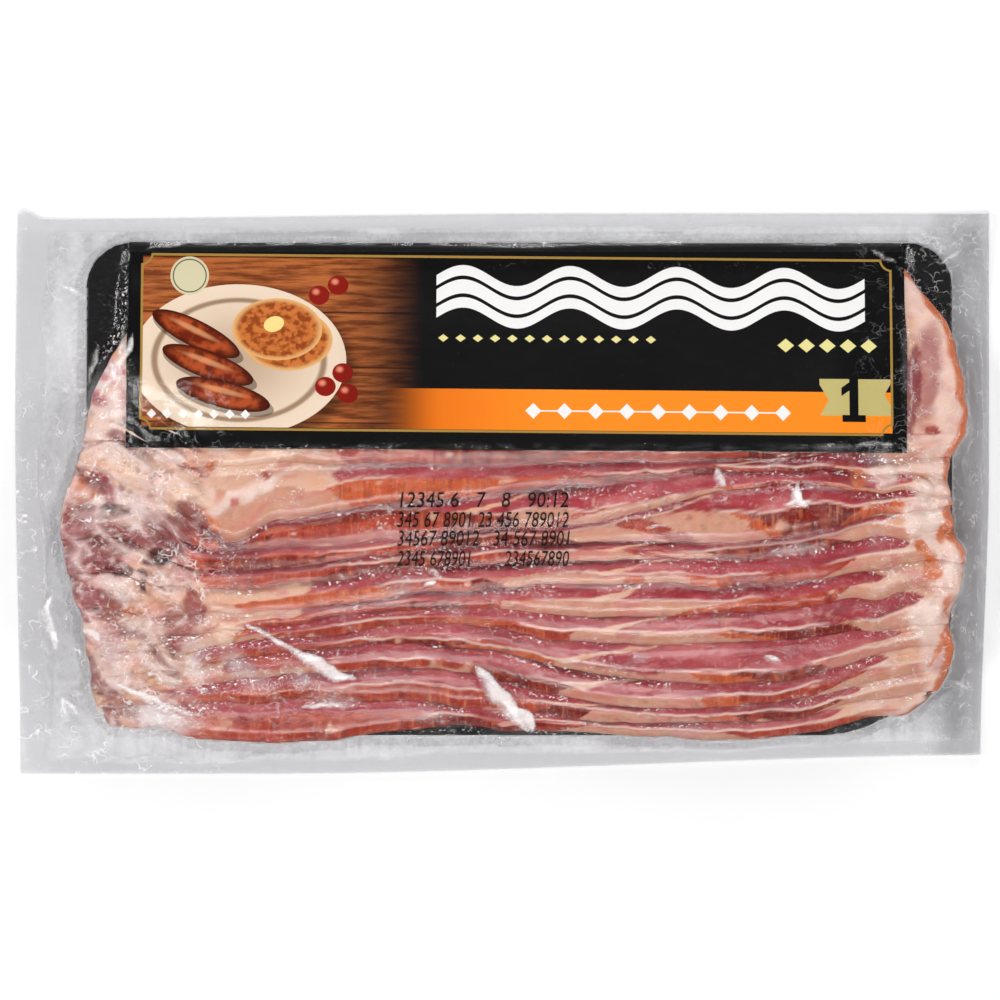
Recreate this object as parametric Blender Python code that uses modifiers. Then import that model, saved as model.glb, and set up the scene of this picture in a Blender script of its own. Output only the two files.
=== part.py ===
"""Vacuum pack of bacon: a sealed clear pouch with flat margins, a black label board whose flap
folds over the top, and twelve shingled raw slices lying lengthwise on the board.

The pack lies on its back with the shown side up. X runs along the slices, Y up the label side,
and Z is the thickness. Sizes are in millimetres; MM turns them into metres.
"""
import math

import bmesh
import bpy
import numpy as np

MM = 0.001

# Pouch: its cut edge is a hand-cut sheet, so each side strays a little from a straight line.
PACK_LENGTH = 282.4
PACK_WIDTH = 162.4
FILM = 0.5
CUT_LEFT_HOLLOW = 1.7
CUT_RIGHT_TAPER = 2.6
CUT_BOTTOM_RISE = 5.6
CUT_TOP_FALL = 1.6
OUTLINE_STATIONS = 18
INNER_CORNER = 0.12
OUTER_CORNER = 0.001

# The free margin curls up from the table; the film slopes from it up to the contents in folds.
MARGIN_CURL = 2.2
MARGIN_MIDDLE = 0.82
MARGIN_WAVE_X = 23.0
MARGIN_WAVE_Y = 17.0
SEAM_RISE = 0.3
TENT_FOOT = 0.5
TENT_FOLD = 0.08
TENT_RIPPLE = 0.05

# Where the film leaves the contents: this far outside the board, and never lower than the least.
SHOULDER_LEFT = -114.0
SHOULDER_RIGHT = 125.0
SHOULDER_BOTTOM = -66.0
SHOULDER_DROP = 1.6
SHOULDER_LEAST = 3.2
ROOM_LEFT = 1.0
ROOM_RIGHT = 1.2
ROOM_BOTTOM = 3.8
ROOM_TOP = 1.6
BULGE_LEFT = 7.0
BULGE_RIGHT_UPPER = 2.2
BULGE_RIGHT_LOWER = 0.8

# Label board: one card, its lower leaf under the slices and its flap folded over them.
BOARD_LEFT = -120.5
BOARD_RIGHT = 130.5
BOARD_BOTTOM = -70.0
BOARD_TOP = 72.5
BOARD_CORNER = 13.0
CARD = 0.5
FOLD_DEPTH = 2.4
FLAP_LEFT = -108.5
FLAP_RIGHT = 117.0
FLAP_EDGE_LEFT = 13.4
FLAP_EDGE_RIGHT = 11.8

# Slices: each spans six steps of the shingle, and its lower edge lies on the one below.
SLICE_COUNT = 12
SPAN = 6
SLICE = 3.4
RIM = 0.7
BEVEL = 0.42
GAP = 0.35
PILE_TOP_EDGE = 66.0
# A slice's ends are round: how strongly, and how far from its middle line the curves are centred.
END_CURVE = 0.0138
LEFT_CURVE_SHIFT = 4.0
RIGHT_CURVE_SHIFT = -3.0

# Lower edge of each slice, from the lowest slice up, at six stations along the pack.
EDGE_STATIONS = (-115.0, -65.0, -15.0, 30.0, 75.0, 120.0)
LOWER_EDGES = (
    (-68.0, -72.0, -69.5, -71.0, -71.5, -62.0),
    (-63.0, -60.0, -61.0, -66.0, -66.0, -57.5),
    (-58.0, -52.5, -51.5, -61.0, -61.0, -52.5),
    (-53.0, -46.5, -43.5, -52.0, -54.5, -45.5),
    (-48.0, -42.0, -38.0, -43.5, -42.5, -37.0),
    (-43.0, -38.0, -33.0, -35.5, -33.5, -28.0),
    (-37.5, -33.5, -28.0, -26.0, -26.0, -20.5),
    (-30.0, -26.5, -20.5, -19.5, -17.5, -11.0),
    (-22.0, -21.0, -16.0, -14.0, -13.0, -5.0),
    (-13.5, -15.0, -11.5, -7.0, 2.5, -0.5),
    (-3.5, -6.5, -1.0, 3.5, 7.0, 4.5),
    (6.0, 9.0, 8.8, 9.2, 10.8, 11.2),
)
# How far each slice reaches to the left and to the right, from the lowest slice up.
LEFT_ENDS = (-113.0, -116.0, -118.0, -118.5, -119.0, -120.5, -124.0, -125.5, -126.8, -125.5, -123.5, -120.5)
RIGHT_ENDS = (124.0, 128.0, 129.5, 130.5, 129.0, 131.0, 130.5, 129.0, 131.0, 128.5, 130.5, 132.6)
# The pile sinks towards its ends: share lost, where the fall starts, and over what length.
RIGHT_SINK = (0.36, 92.0, 40.0)
LEFT_SINK = (0.26, 84.0, 42.0)
# The crumpled left ends rise and sink from one step of the shingle to the next.
CRUMPLE = 0.13
CRUMPLE_TURN = 1.25
CRUMPLE_START = 66.0
CRUMPLE_LENGTH = 40.0
RIPPLE = 0.035
RIPPLE_LENGTH = 19.0

# Stations along X that every slice shares, so that neighbours bend alike; ends lie in the outer cells.
SHARED_LEFT = -104.0
SHARED_RIGHT = 112.0
SHARED_CELLS = 15
OUTER_CELL = 32.0
STATIONS = np.concatenate((
    [SHARED_LEFT - OUTER_CELL],
    np.linspace(SHARED_LEFT, SHARED_RIGHT, SHARED_CELLS + 1),
    [SHARED_RIGHT + OUTER_CELL],
))

FLOOR_TOP = FILM
CARD_BOTTOM = FLOOR_TOP + GAP
PILE_BOTTOM = CARD_BOTTOM + CARD + GAP


def smooth(value):
    """Ease from 0 to 1 as value goes from 0 to 1."""
    value = min(max(value, 0.0), 1.0)
    return value * value * (3.0 - 2.0 * value)


def bump(value, centre, half_width):
    """A smooth hill of height 1 at the centre, 0 beyond the half width."""
    return smooth(1.0 - abs(value - centre) / half_width)


def through(stations, values, x):
    """A smooth curve through the values at the stations."""
    slopes = np.gradient(values, stations)
    index = min(max(int(np.searchsorted(stations, x)) - 1, 0), len(stations) - 2)
    step = stations[index + 1] - stations[index]
    t = min(max((x - stations[index]) / step, -0.3), 1.3)
    a = values[index] + slopes[index] * step / 3.0
    b = values[index + 1] - slopes[index + 1] * step / 3.0
    ends = values[index] * (1 - t) ** 3 + values[index + 1] * t ** 3
    return ends + 3 * a * t * (1 - t) ** 2 + 3 * b * t * t * (1 - t)


def edge_rows():
    """Y of every whole step of the shingle at every station; the last ones run under the flap."""
    rows = [[through(EDGE_STATIONS, line, x) for x in STATIONS] for line in LOWER_EDGES]
    top_slice = np.array(rows[-1])
    for step in range(1, SPAN + 1):
        rows.append(top_slice + (PILE_TOP_EDGE - top_slice) * step / SPAN)
    return np.array(rows)


def sunk(distance, sink):
    """What is left of the pile's height at a distance from its middle."""
    share, start, length = sink
    return 1.0 - share * smooth((distance - start) / length)


def lift_rows():
    """How much the pile stands or sinks at every step and station: low ends, uneven crumpled left."""
    rows = []
    for step in range(SLICE_COUNT + SPAN):
        row = []
        for x in STATIONS:
            ends = sunk(x, RIGHT_SINK) * sunk(-x, LEFT_SINK)
            crumpled = smooth((-x - CRUMPLE_START) / CRUMPLE_LENGTH)
            crumple = CRUMPLE * math.sin(CRUMPLE_TURN * step) * crumpled
            row.append(ends * (1.0 + crumple + RIPPLE * math.sin(x / RIPPLE_LENGTH)))
        rows.append(row)
    return np.array(rows)


EDGE_Y = edge_rows()
LIFT = lift_rows()


def along(rows, step, x):
    """Value of a row of stations at x."""
    return float(np.interp(x, STATIONS, rows[step]))


def edge_line(step, x):
    """Y of one whole step of the shingle."""
    return along(EDGE_Y, step, x)


def shingle_y(x, w):
    """Y at any point w of the shingle, where slice m runs from w = m to w = m + SPAN."""
    low = min(int(math.floor(w)), SLICE_COUNT + SPAN - 2)
    return edge_line(low, x) + (edge_line(low + 1, x) - edge_line(low, x)) * (w - low)


def shingle_w(x, y):
    """The point of the shingle that lies at x and y."""
    for low in range(SLICE_COUNT + SPAN - 1):
        start = edge_line(low, x)
        end = edge_line(low + 1, x)
        if y <= end:
            return low + (y - start) / (end - start)
    return float(SLICE_COUNT + SPAN - 1)


def thickness(u):
    """Thickness of a slice, u steps in from its lower edge."""
    if u < BEVEL:
        return RIM + (SLICE - RIM) * u / BEVEL
    if u > SPAN - 1:
        return SLICE + (RIM - SLICE) * (u - SPAN + 1)
    return SLICE


def underside(m, step):
    """Height of slice m's underside over the board at a whole step, before the lift is applied."""
    if m == 0 or step >= m + SPAN:
        return 0.0
    return underside(m - 1, step) + thickness(step - m + 1) + GAP


def lift(x, w):
    """How much the pile stands or sinks at a point of the shingle."""
    low = min(int(math.floor(w)), SLICE_COUNT + SPAN - 2)
    start = along(LIFT, low, x)
    return start + (along(LIFT, low + 1, x) - start) * (w - low)


def underside_z(m, x, w):
    """Z of slice m's underside; straight between whole steps, so that neighbours stay parallel."""
    low = min(int(math.floor(w)), m + SPAN - 1)
    start = underside(m, low) * along(LIFT, low, x)
    end = underside(m, low + 1) * along(LIFT, low + 1, x)
    return PILE_BOTTOM + start + (end - start) * (w - low)


def topside_z(m, x, w):
    """Z of slice m's top."""
    return underside_z(m, x, w) + thickness(w - m) * lift(x, w)


def pile_top(x, y):
    """Z of the top of the slices under a point."""
    w = min(max(shingle_w(x, y), 0.0), SLICE_COUNT + SPAN - 1.0)
    m = min(int(math.floor(w)), SLICE_COUNT - 1)
    return topside_z(m, x, w)


def new_object(name, bm, material):
    """Turn a bmesh in millimetres into an object in metres, in the pack's collection."""
    bmesh.ops.scale(bm, vec=(MM, MM, MM), verts=bm.verts)
    bmesh.ops.recalc_face_normals(bm, faces=bm.faces)
    mesh = bpy.data.meshes.new(name)
    bm.to_mesh(mesh)
    bm.free()
    mesh.materials.append(material)
    obj = bpy.data.objects.new(name, mesh)
    PACK.objects.link(obj)
    return obj


def make_material(name, colour, roughness):
    """A Principled material with plain values."""
    material = bpy.data.materials.new(name)
    material.use_nodes = True
    shader = material.node_tree.nodes["Principled BSDF"]
    shader.inputs["Base Color"].default_value = (*colour, 1.0)
    shader.inputs["Roughness"].default_value = roughness
    shader.inputs["Metallic"].default_value = 0.0
    return material


def sheet(columns, rows, place, split="FIXED"):
    """A grid whose vertex (column, row) goes to place(column, row), split the same way everywhere."""
    bm = bmesh.new()
    bmesh.ops.create_grid(bm, x_segments=columns, y_segments=rows, size=1.0)
    for vert in bm.verts:
        column = round((vert.co.x + 1.0) / 2.0 * columns)
        row = round((vert.co.y + 1.0) / 2.0 * rows)
        vert.co = place(column, row)
    bmesh.ops.triangulate(bm, faces=bm.faces[:], quad_method=split)
    return bm


def make_slice(m, material):
    """One slice: its top and underside are the same grid at two heights, joined round the rim."""
    steps = (0.0, BEVEL) + tuple(float(step) for step in range(1, SPAN + 1))

    def plan(column, row):
        w = m + steps[row]
        middle = shingle_y(0.5 * (SHARED_LEFT + SHARED_RIGHT), m + 2.0)
        if column == 0:
            y = shingle_y(SHARED_LEFT, w)
            x = LEFT_ENDS[m] + END_CURVE * (y - middle + LEFT_CURVE_SHIFT) ** 2
        elif column == SHARED_CELLS + 2:
            y = shingle_y(SHARED_RIGHT, w)
            x = RIGHT_ENDS[m] - END_CURVE * (y - middle + RIGHT_CURVE_SHIFT) ** 2
        else:
            x = STATIONS[column]
        return x, w

    def top(column, row):
        x, w = plan(column, row)
        return x, shingle_y(x, w), topside_z(m, x, w)

    bm = sheet(SHARED_CELLS + 2, len(steps) - 1, top)
    extruded = bmesh.ops.extrude_face_region(bm, geom=bm.faces[:])
    for item in extruded["geom"]:
        if isinstance(item, bmesh.types.BMVert):
            w = min(max(shingle_w(item.co.x, item.co.y), m), m + SPAN)
            item.co.z = underside_z(m, item.co.x, w)
    return new_object(f"bacon_slice_{m + 1:02d}", bm, material)


def corner_inset(y):
    """How far the lower leaf's sides draw in at height y, for its rounded corners."""
    depth = max(BOARD_BOTTOM + BOARD_CORNER - y, y - BOARD_TOP + BOARD_CORNER, 0.0)
    return BOARD_CORNER - math.sqrt(max(BOARD_CORNER ** 2 - depth ** 2, 0.0))


def make_board(material):
    """The label board: lower leaf, fold at the top edge, and flap lying on the top slice."""
    # The leaf's rows stand closer together where its corners turn; the fold hides the topmost bit.
    leaf = [BOARD_BOTTOM + BOARD_CORNER * step for step in (0.0, 0.08, 0.3, 1.0)]
    leaf += [BOARD_TOP - BOARD_CORNER * step for step in (1.0, 0.5, 0.25)]
    fold_steps = 4
    top_slice = SLICE_COUNT - 1
    flap_steps = list(range(top_slice + SPAN, top_slice, -1)) + [top_slice]
    rows = len(leaf) + fold_steps + 1 + len(flap_steps)
    across = [FLAP_LEFT] + [x for x in STATIONS if FLAP_LEFT < x < FLAP_RIGHT] + [FLAP_RIGHT]
    columns = len(across) - 1
    low_z = CARD_BOTTOM + CARD / 2.0

    def flap_z(x, w):
        depth = SLICE if w < SLICE_COUNT else thickness(w - top_slice)
        return underside_z(top_slice, x, w) + depth * lift(x, w) + GAP + CARD / 2.0

    def place(column, row):
        x = across[column]
        share = (x - FLAP_LEFT) / (FLAP_RIGHT - FLAP_LEFT)
        if row < len(leaf):
            inset = corner_inset(leaf[row])
            left = BOARD_LEFT + inset
            return left + (BOARD_RIGHT - inset - left) * share, leaf[row], low_z
        start_y = BOARD_TOP - FOLD_DEPTH
        high_z = flap_z(x, top_slice + SPAN)
        radius = (high_z - low_z) / 2.0
        if row <= len(leaf) + fold_steps:
            turn = math.pi * (row - len(leaf)) / fold_steps
            return x, start_y + FOLD_DEPTH * math.sin(turn), low_z + radius * (1.0 - math.cos(turn))
        w = flap_steps[row - len(leaf) - fold_steps - 1]
        if row == rows - 1:
            w = shingle_w(x, FLAP_EDGE_LEFT + (FLAP_EDGE_RIGHT - FLAP_EDGE_LEFT) * share)
        return x, shingle_y(x, w), flap_z(x, w)

    bm = sheet(columns, rows - 1, place, split="ALTERNATE")
    obj = new_object("label_board", bm, material)
    solid = obj.modifiers.new("card thickness", "SOLIDIFY")
    solid.thickness = CARD * MM
    solid.offset = 0.0
    return obj


def rounded_square(station, corner):
    """A point on the unit square with rounded corners; stations run round it from lower left."""
    side, along = divmod(station, OUTLINE_STATIONS)
    a = 2.0 * along / OUTLINE_STATIONS - 1.0
    b = -1.0
    if abs(a) > 1.0 - corner:
        turn = (abs(a) - 1.0 + corner) / corner * math.pi / 4.0
        a = math.copysign(1.0 - corner + corner * math.sin(turn), a)
        b = -1.0 + corner * (1.0 - math.cos(turn))
    for _ in range(side % 4):
        a, b = -b, a
    return a, b


def cut_outline(a, b):
    """The pouch's cut edge at a and b from -1 to 1: bowed on the left, short at lower right."""
    left = -PACK_LENGTH / 2.0 + CUT_LEFT_HOLLOW * (1.0 - bump(b, 0.3, 1.5))
    right = PACK_LENGTH / 2.0 - CUT_RIGHT_TAPER * smooth((0.1 - b) / 1.2)
    bottom = -PACK_WIDTH / 2.0 + CUT_BOTTOM_RISE * smooth((a + 0.5) / 1.6)
    top = PACK_WIDTH / 2.0 - CUT_TOP_FALL * smooth((0.2 - a) / 1.2)
    x = left + (right - left) * (a + 1.0) / 2.0
    y = bottom + (top - bottom) * (b + 1.0) / 2.0
    return x, y


def contents_outline(a, b):
    """The line where the film leaves the contents and starts down to the margin."""
    left = BOARD_LEFT - ROOM_LEFT - BULGE_LEFT * bump(b, -0.12, 0.75)
    bulge = BULGE_RIGHT_UPPER * bump(b, 0.42, 0.5) + BULGE_RIGHT_LOWER * bump(b, -0.3, 0.3)
    right = BOARD_RIGHT + ROOM_RIGHT + bulge
    bottom = BOARD_BOTTOM - ROOM_BOTTOM + 0.8 * smooth((a - 0.5) / 0.5)
    top = BOARD_TOP + ROOM_TOP
    x = left + (right - left) * (a + 1.0) / 2.0
    y = bottom + (top - bottom) * (b + 1.0) / 2.0
    return x, y


def margin_rise(x, y):
    """How far the free margin curls up from the table, in gentle waves along the cut edge."""
    wave = math.sin(x / MARGIN_WAVE_X + 1.0) * math.cos(y / MARGIN_WAVE_Y)
    corner = smooth((abs(x) - 120.0) / 25.0) * smooth((abs(y) - 55.0) / 30.0)
    return MARGIN_CURL * (0.35 + 0.2 * wave + 0.45 * corner)


def between(station, share):
    """A point between the contents' outline (share 0) and the cut edge (share 1)."""
    inner = contents_outline(*rounded_square(station, INNER_CORNER))
    outer = cut_outline(*rounded_square(station, OUTER_CORNER))
    return tuple(i + (o - i) * share for i, o in zip(inner, outer))


def shoulder_height(x, y):
    """Height at which the film leaves the contents: just under the nearest slice's top."""
    inward_x = min(max(x, SHOULDER_LEFT), SHOULDER_RIGHT)
    inward_y = min(max(y, SHOULDER_BOTTOM), PILE_TOP_EDGE)
    return max(pile_top(inward_x, inward_y) - SHOULDER_DROP, SHOULDER_LEAST)


def tent_foot(station):
    """Share of the margin that the sloping film takes up, in folds that run out from the contents."""
    return TENT_FOOT + TENT_FOLD * math.sin(1.9 * station) + TENT_RIPPLE * math.sin(0.7 * station)


def make_pouch(material):
    """The sealed bag as a shallow tray: flat floor, film sloping up to the contents, free margin."""
    # Rings from the floor's edge, up the inside, down the sloping film, out and back underneath.
    rings = (
        (lambda station: 0.0, lambda x, y: FLOOR_TOP),
        (lambda station: 0.0, shoulder_height),
        (tent_foot, lambda x, y: FILM + SEAM_RISE),
        (lambda station: MARGIN_MIDDLE, lambda x, y: FILM + 0.5 * margin_rise(x, y)),
        (lambda station: 1.0, lambda x, y: FILM + margin_rise(x, y)),
        (lambda station: 1.0, margin_rise),
        (lambda station: MARGIN_MIDDLE, lambda x, y: 0.5 * margin_rise(x, y)),
        (lambda station: TENT_FOOT, lambda x, y: 0.0),
    )
    bm = bmesh.new()
    loops = []
    for share_of, height_of in rings:
        circle = bmesh.ops.create_circle(bm, cap_ends=False, segments=4 * OUTLINE_STATIONS, radius=1.0)
        for station, vert in enumerate(circle["verts"]):
            x, y = between(station, share_of(station))
            vert.co = (x, y, height_of(x, y))
        loops.append(list({edge for vert in circle["verts"] for edge in vert.link_edges}))
    for first, second in zip(loops, loops[1:]):
        bmesh.ops.bridge_loops(bm, edges=first + second)
    bmesh.ops.contextual_create(bm, geom=loops[0])
    bmesh.ops.contextual_create(bm, geom=loops[-1])
    return new_object("pouch", bm, material)


def clear_scene():
    """Remove what the file starts with."""
    for obj in list(bpy.data.objects):
        bpy.data.objects.remove(obj, do_unlink=True)


clear_scene()
PACK = bpy.data.collections.new("bacon_pack")
bpy.context.scene.collection.children.link(PACK)

FILM_LOOK = make_material("clear_film", (0.74, 0.75, 0.76), 0.25)
CARD_LOOK = make_material("black_card", (0.012, 0.012, 0.013), 0.35)
SLICE_LOOK = make_material("raw_bacon", (0.52, 0.20, 0.17), 0.4)

make_pouch(FILM_LOOK)
make_board(CARD_LOOK)
for slice_number in range(SLICE_COUNT):
    make_slice(slice_number, SLICE_LOOK)
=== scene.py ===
"""Looks of the bacon pack: moist shingled slices, a printed card and clear vacuum film.

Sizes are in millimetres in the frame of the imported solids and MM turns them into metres. X runs
along the slices, Y towards the card's fold and Z out of the shown side.
"""

import math

import bpy
import numpy as np
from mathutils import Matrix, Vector


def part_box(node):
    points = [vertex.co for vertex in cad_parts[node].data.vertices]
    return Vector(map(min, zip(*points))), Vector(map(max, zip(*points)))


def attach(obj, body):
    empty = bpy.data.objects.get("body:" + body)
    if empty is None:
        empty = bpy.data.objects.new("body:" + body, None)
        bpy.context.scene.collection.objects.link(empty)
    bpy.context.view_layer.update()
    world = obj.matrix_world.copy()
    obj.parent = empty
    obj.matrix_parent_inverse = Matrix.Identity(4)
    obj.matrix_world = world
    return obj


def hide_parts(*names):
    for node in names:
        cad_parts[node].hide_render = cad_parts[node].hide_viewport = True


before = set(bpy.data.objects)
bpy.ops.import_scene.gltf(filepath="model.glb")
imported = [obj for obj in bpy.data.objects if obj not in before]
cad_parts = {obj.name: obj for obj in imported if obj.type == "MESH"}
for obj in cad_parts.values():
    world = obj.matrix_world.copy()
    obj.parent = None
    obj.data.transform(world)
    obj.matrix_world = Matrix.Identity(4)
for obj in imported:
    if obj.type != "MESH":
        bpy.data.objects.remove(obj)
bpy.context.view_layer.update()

MM = 0.001


def box_mm(node):
    """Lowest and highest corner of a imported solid, in millimetres."""
    low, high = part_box(node)
    return np.array(low) / MM, np.array(high) / MM


def slice_node(m):
    """Name of slice m's solid, from the lowest slice up."""
    return f"bacon_slice_{m + 1:02d}"


POUCH_LOW, POUCH_HIGH = box_mm("pouch")
BOARD_LOW, BOARD_HIGH = box_mm("label_board")

# Slices: each spans six steps of the shingle, and its lower edge lies on the one below.
SLICE_COUNT = 12
SPAN = 6
SLICE = 3.4
RIM = 0.7
GAP = 0.35
BUTT = 3.7
PILE_BOTTOM = 1.7
PILE_TOP_EDGE = 66.0
EDGE_STATIONS = (-115.0, -65.0, -15.0, 30.0, 75.0, 120.0)
LOWER_EDGES = (
    (-68.0, -72.0, -67.2, -70.0, -71.0, -62.0),
    (-63.0, -60.0, -61.0, -66.0, -66.0, -57.5),
    (-58.0, -52.5, -51.5, -61.0, -61.0, -52.5),
    (-53.0, -46.5, -43.5, -52.0, -54.5, -45.5),
    (-48.0, -42.0, -38.0, -43.5, -42.5, -37.0),
    (-43.0, -38.0, -33.0, -35.5, -33.5, -28.0),
    (-37.5, -33.5, -28.0, -26.0, -26.0, -20.5),
    (-30.0, -26.5, -20.5, -19.5, -17.5, -11.0),
    (-22.0, -21.0, -16.0, -14.0, -13.0, -5.0),
    (-13.5, -15.0, -11.5, -7.0, 2.5, -0.5),
    (-3.5, -6.5, -1.0, 3.5, 7.0, 4.5),
    (6.0, 9.0, 8.8, 9.2, 10.8, 11.2),
)

# Outline of the pile: X of its left and right end at heights Y.
LEFT_OUTLINE = (
    (-72.0, -66.0, -57.0, -46.0, -36.0, -26.0, -16.0, -6.0, 2.0, 8.0, 16.0, 27.0, 34.0, 42.0, 48.0, 66.0),
    (-109.5, -115.0, -118.0, -119.5, -121.0, -124.5, -127.0, -127.0, -124.5, -122.5, -120.5, -119.0,
     -115.5, -111.0, -107.5, -104.0),
)
RIGHT_OUTLINE = (
    (-70.0, -66.5, -63.5, -60.0, -56.0, -52.0, -45.0, -39.0, -34.0, -29.0, -24.0, -17.0, -11.0, -3.0, 5.0,
     11.0, 17.0, 24.0, 33.0, 43.0, 50.0, 60.0, 66.0),
    (95.0, 109.5, 118.0, 123.5, 126.5, 129.0, 130.5, 129.5, 128.2, 131.5, 133.2, 133.4, 130.5, 129.8, 128.5,
     129.5, 134.0, 134.4, 133.4, 131.2, 128.5, 120.6, 116.0),
)
# The crumpled left end pushes the strips up, and one fold of the upper slices hangs over the others.
PUSH_UP = 9.0
HANG_DOWN = 8.0

# Card: the flap lies over the top slice, the lower leaf under the lowest.
CARD = 0.5
CARD_BOTTOM = 0.85
BOARD_CORNER = 13.0
LOWER_CORNER = 38.0
FOLD_DEPTH = 2.4
FLAP_LEFT = -108.5
FLAP_RIGHT = 117.0
FLAP_EDGE_LEFT = 13.4
FLAP_EDGE_RIGHT = 11.8


# ---------------------------------------------------------------- numbers and noise
def smooth(value):
    """Ease from 0 to 1 as value goes from 0 to 1."""
    value = np.clip(value, 0.0, 1.0)
    return value * value * (3.0 - 2.0 * value)


def hill(value, centre, half_width):
    """A smooth hill of height 1 at the centre, 0 beyond the half width."""
    return smooth(1.0 - np.abs(value - centre) / half_width)


def lattice(i, j, seed):
    """A repeatable number from 0 to 1 for each lattice point."""
    value = np.sin(i * 127.1 + j * 311.7 + seed * 74.7) * 43758.5453
    return value - np.floor(value)


def noise(x, y, seed=0.0):
    """Smooth noise from -1 to 1, with features about one unit across."""
    x, y = np.broadcast_arrays(np.asarray(x, float), np.asarray(y, float))
    i, j = np.floor(x), np.floor(y)
    s, t = smooth(x - i), smooth(y - j)
    low = lattice(i, j, seed) * (1 - s) + lattice(i + 1, j, seed) * s
    high = lattice(i, j + 1, seed) * (1 - s) + lattice(i + 1, j + 1, seed) * s
    return 2.0 * (low * (1 - t) + high * t) - 1.0


def rough_noise(x, y, seed=0.0, octaves=3):
    """Noise with finer noise on top."""
    total = 0.0
    for octave in range(octaves):
        total = total + noise(x * 2 ** octave, y * 2 ** octave, seed + 3.7 * octave) / 2 ** octave
    return total / (2.0 - 0.5 ** (octaves - 1))


def through(stations, values, x):
    """A smooth curve through the values at the stations."""
    stations, values = np.asarray(stations), np.asarray(values)
    slopes = np.gradient(values, stations)
    index = np.clip(np.searchsorted(stations, x) - 1, 0, len(stations) - 2)
    step = stations[index + 1] - stations[index]
    t = np.clip((x - stations[index]) / step, -0.3, 1.3)
    a = values[index] + slopes[index] * step / 3.0
    b = values[index + 1] - slopes[index + 1] * step / 3.0
    ends = values[index] * (1 - t) ** 3 + values[index + 1] * t ** 3
    return ends + 3 * a * t * (1 - t) ** 2 + 3 * b * t * t * (1 - t)


# ---------------------------------------------------------------- the shingle of slices
def stray(x, y):
    """How far the crumpled ends move a strip's edge from its smooth line at height y."""
    push = PUSH_UP * smooth((-x - 84.0) / 32.0) * smooth((y + 58.0) / 40.0) * smooth((62.0 - y) / 50.0)
    hang = HANG_DOWN * hill(x, -78.0, 15.0) * hill(y, -4.0, 15.0)
    waves = 2.2 * noise(x / 10.0, y / 16.0, 8.0) * smooth((-x - 74.0) / 20.0)
    return push - hang + waves + 1.4 * noise(x / 9.0, y / 12.0, 5.0) * smooth((x - 88.0) / 20.0)


def edge_line(step, x):
    """Y of a whole step of the shingle: slice m's lower edge, and its length under the flap."""
    if step < SLICE_COUNT:
        wobble = 0.8 * noise(x / 12.0, step * 7.3) + 0.3 * noise(x / 4.4, step * 5.1)
        y = through(EDGE_STATIONS, LOWER_EDGES[step], x) + wobble
        return y + stray(x, y)
    top = edge_line(SLICE_COUNT - 1, x)
    return top + (PILE_TOP_EDGE - top) * (step - SLICE_COUNT + 1) / SPAN


def rise(step, x):
    """How much the pile stands or sinks: low ends, uneven crumpled left."""
    right_end = 1.0 - 0.36 * smooth((x - 92.0) / 40.0)
    left_end = 1.0 - 0.26 * smooth((-x - 84.0) / 42.0)
    crumple = 0.13 * math.sin(1.25 * step) * smooth((-x - 66.0) / 40.0)
    return right_end * left_end * (1.0 + crumple + 0.035 * np.sin(x / 19.0))


def slice_depth(u):
    """Thickness of a slice u whole steps in from its lower edge."""
    return SLICE if u < SPAN else RIM


def underside(m, step):
    """Height of slice m's underside over the board at a whole step, before the rise."""
    if m == 0 or step >= m + SPAN:
        return 0.0
    return underside(m - 1, step) + slice_depth(step - m + 1) + GAP


def at_shingle(x, w, value):
    """A value that is known at whole steps, at any point w of the shingle."""
    low = min(int(math.floor(w)), SLICE_COUNT + SPAN - 2)
    return value(low, x) * (1.0 - w + low) + value(low + 1, x) * (w - low)


def shingle_y(x, w):
    """Y at any point w of the shingle, where slice m runs from w = m to w = m + SPAN."""
    return at_shingle(x, w, edge_line)


def spot_shape(x, y, cx, cy, half_length, half_width, turn):
    """1 in the middle of an uneven oval spot, falling to 0 at its edge and below 0 outside."""
    c, s = math.cos(math.radians(turn)), math.sin(math.radians(turn))
    skew_x, skew_y = (x + 0.7 * y) / 4.4, (y - 0.7 * x) / 4.4
    x = x + 1.7 * rough_noise(skew_x, skew_y, 7.0)
    y = y + 1.7 * rough_noise(skew_x, skew_y, 8.0)
    along = ((x - cx) * c + (y - cy) * s) / half_length
    across = ((y - cy) * c - (x - cx) * s) / half_width
    return 1.0 - np.hypot(along, across)


def crumple_fold(x, y):
    """Height of the left end's folds, which run down to the right: 1 on a ridge, below 0 in a valley."""
    q, p = (0.62 * x + y) / 6.0, (x - 0.62 * y) / 17.0
    q = q + 0.8 * noise(p * 1.3, q / 2.0, 2.0)
    return 1.0 - 2.2 * np.abs(noise(q, p, 4.0)) + 0.35 * rough_noise(x / 4.0, y / 3.4, 6.0)


def crumple_share(x, y):
    """How much of the left end's crumpling reaches a point."""
    return smooth((-x - 80.0) / 18.0) * smooth((34.0 - y) / 18.0)


def swell(x, y, z):
    """Lumps that the whole pile shares, strongest at its crumpled left end, none at the board."""
    folds = 2.1 * crumple_fold(x, y) + 0.6 * rough_noise(x / 3.0, y / 2.4, 16.0)
    folds = folds * crumple_share(x, y)
    right = 0.9 * rough_noise(x / 7.0, y / 6.0, 14.0) * smooth((x - 96.0) / 20.0)
    lumps = 0.5 * noise(x / 31.0, y / 22.0, 9.0)
    for cx, cy, half_length, half_width, turn, _, height in SPOTS:
        if height:
            lumps = lumps + height * smooth(spot_shape(x, y, cx, cy, half_length, half_width, turn) * 1.6)
    return (folds + right + lumps) * smooth((z - PILE_BOTTOM) / 7.0)


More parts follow.
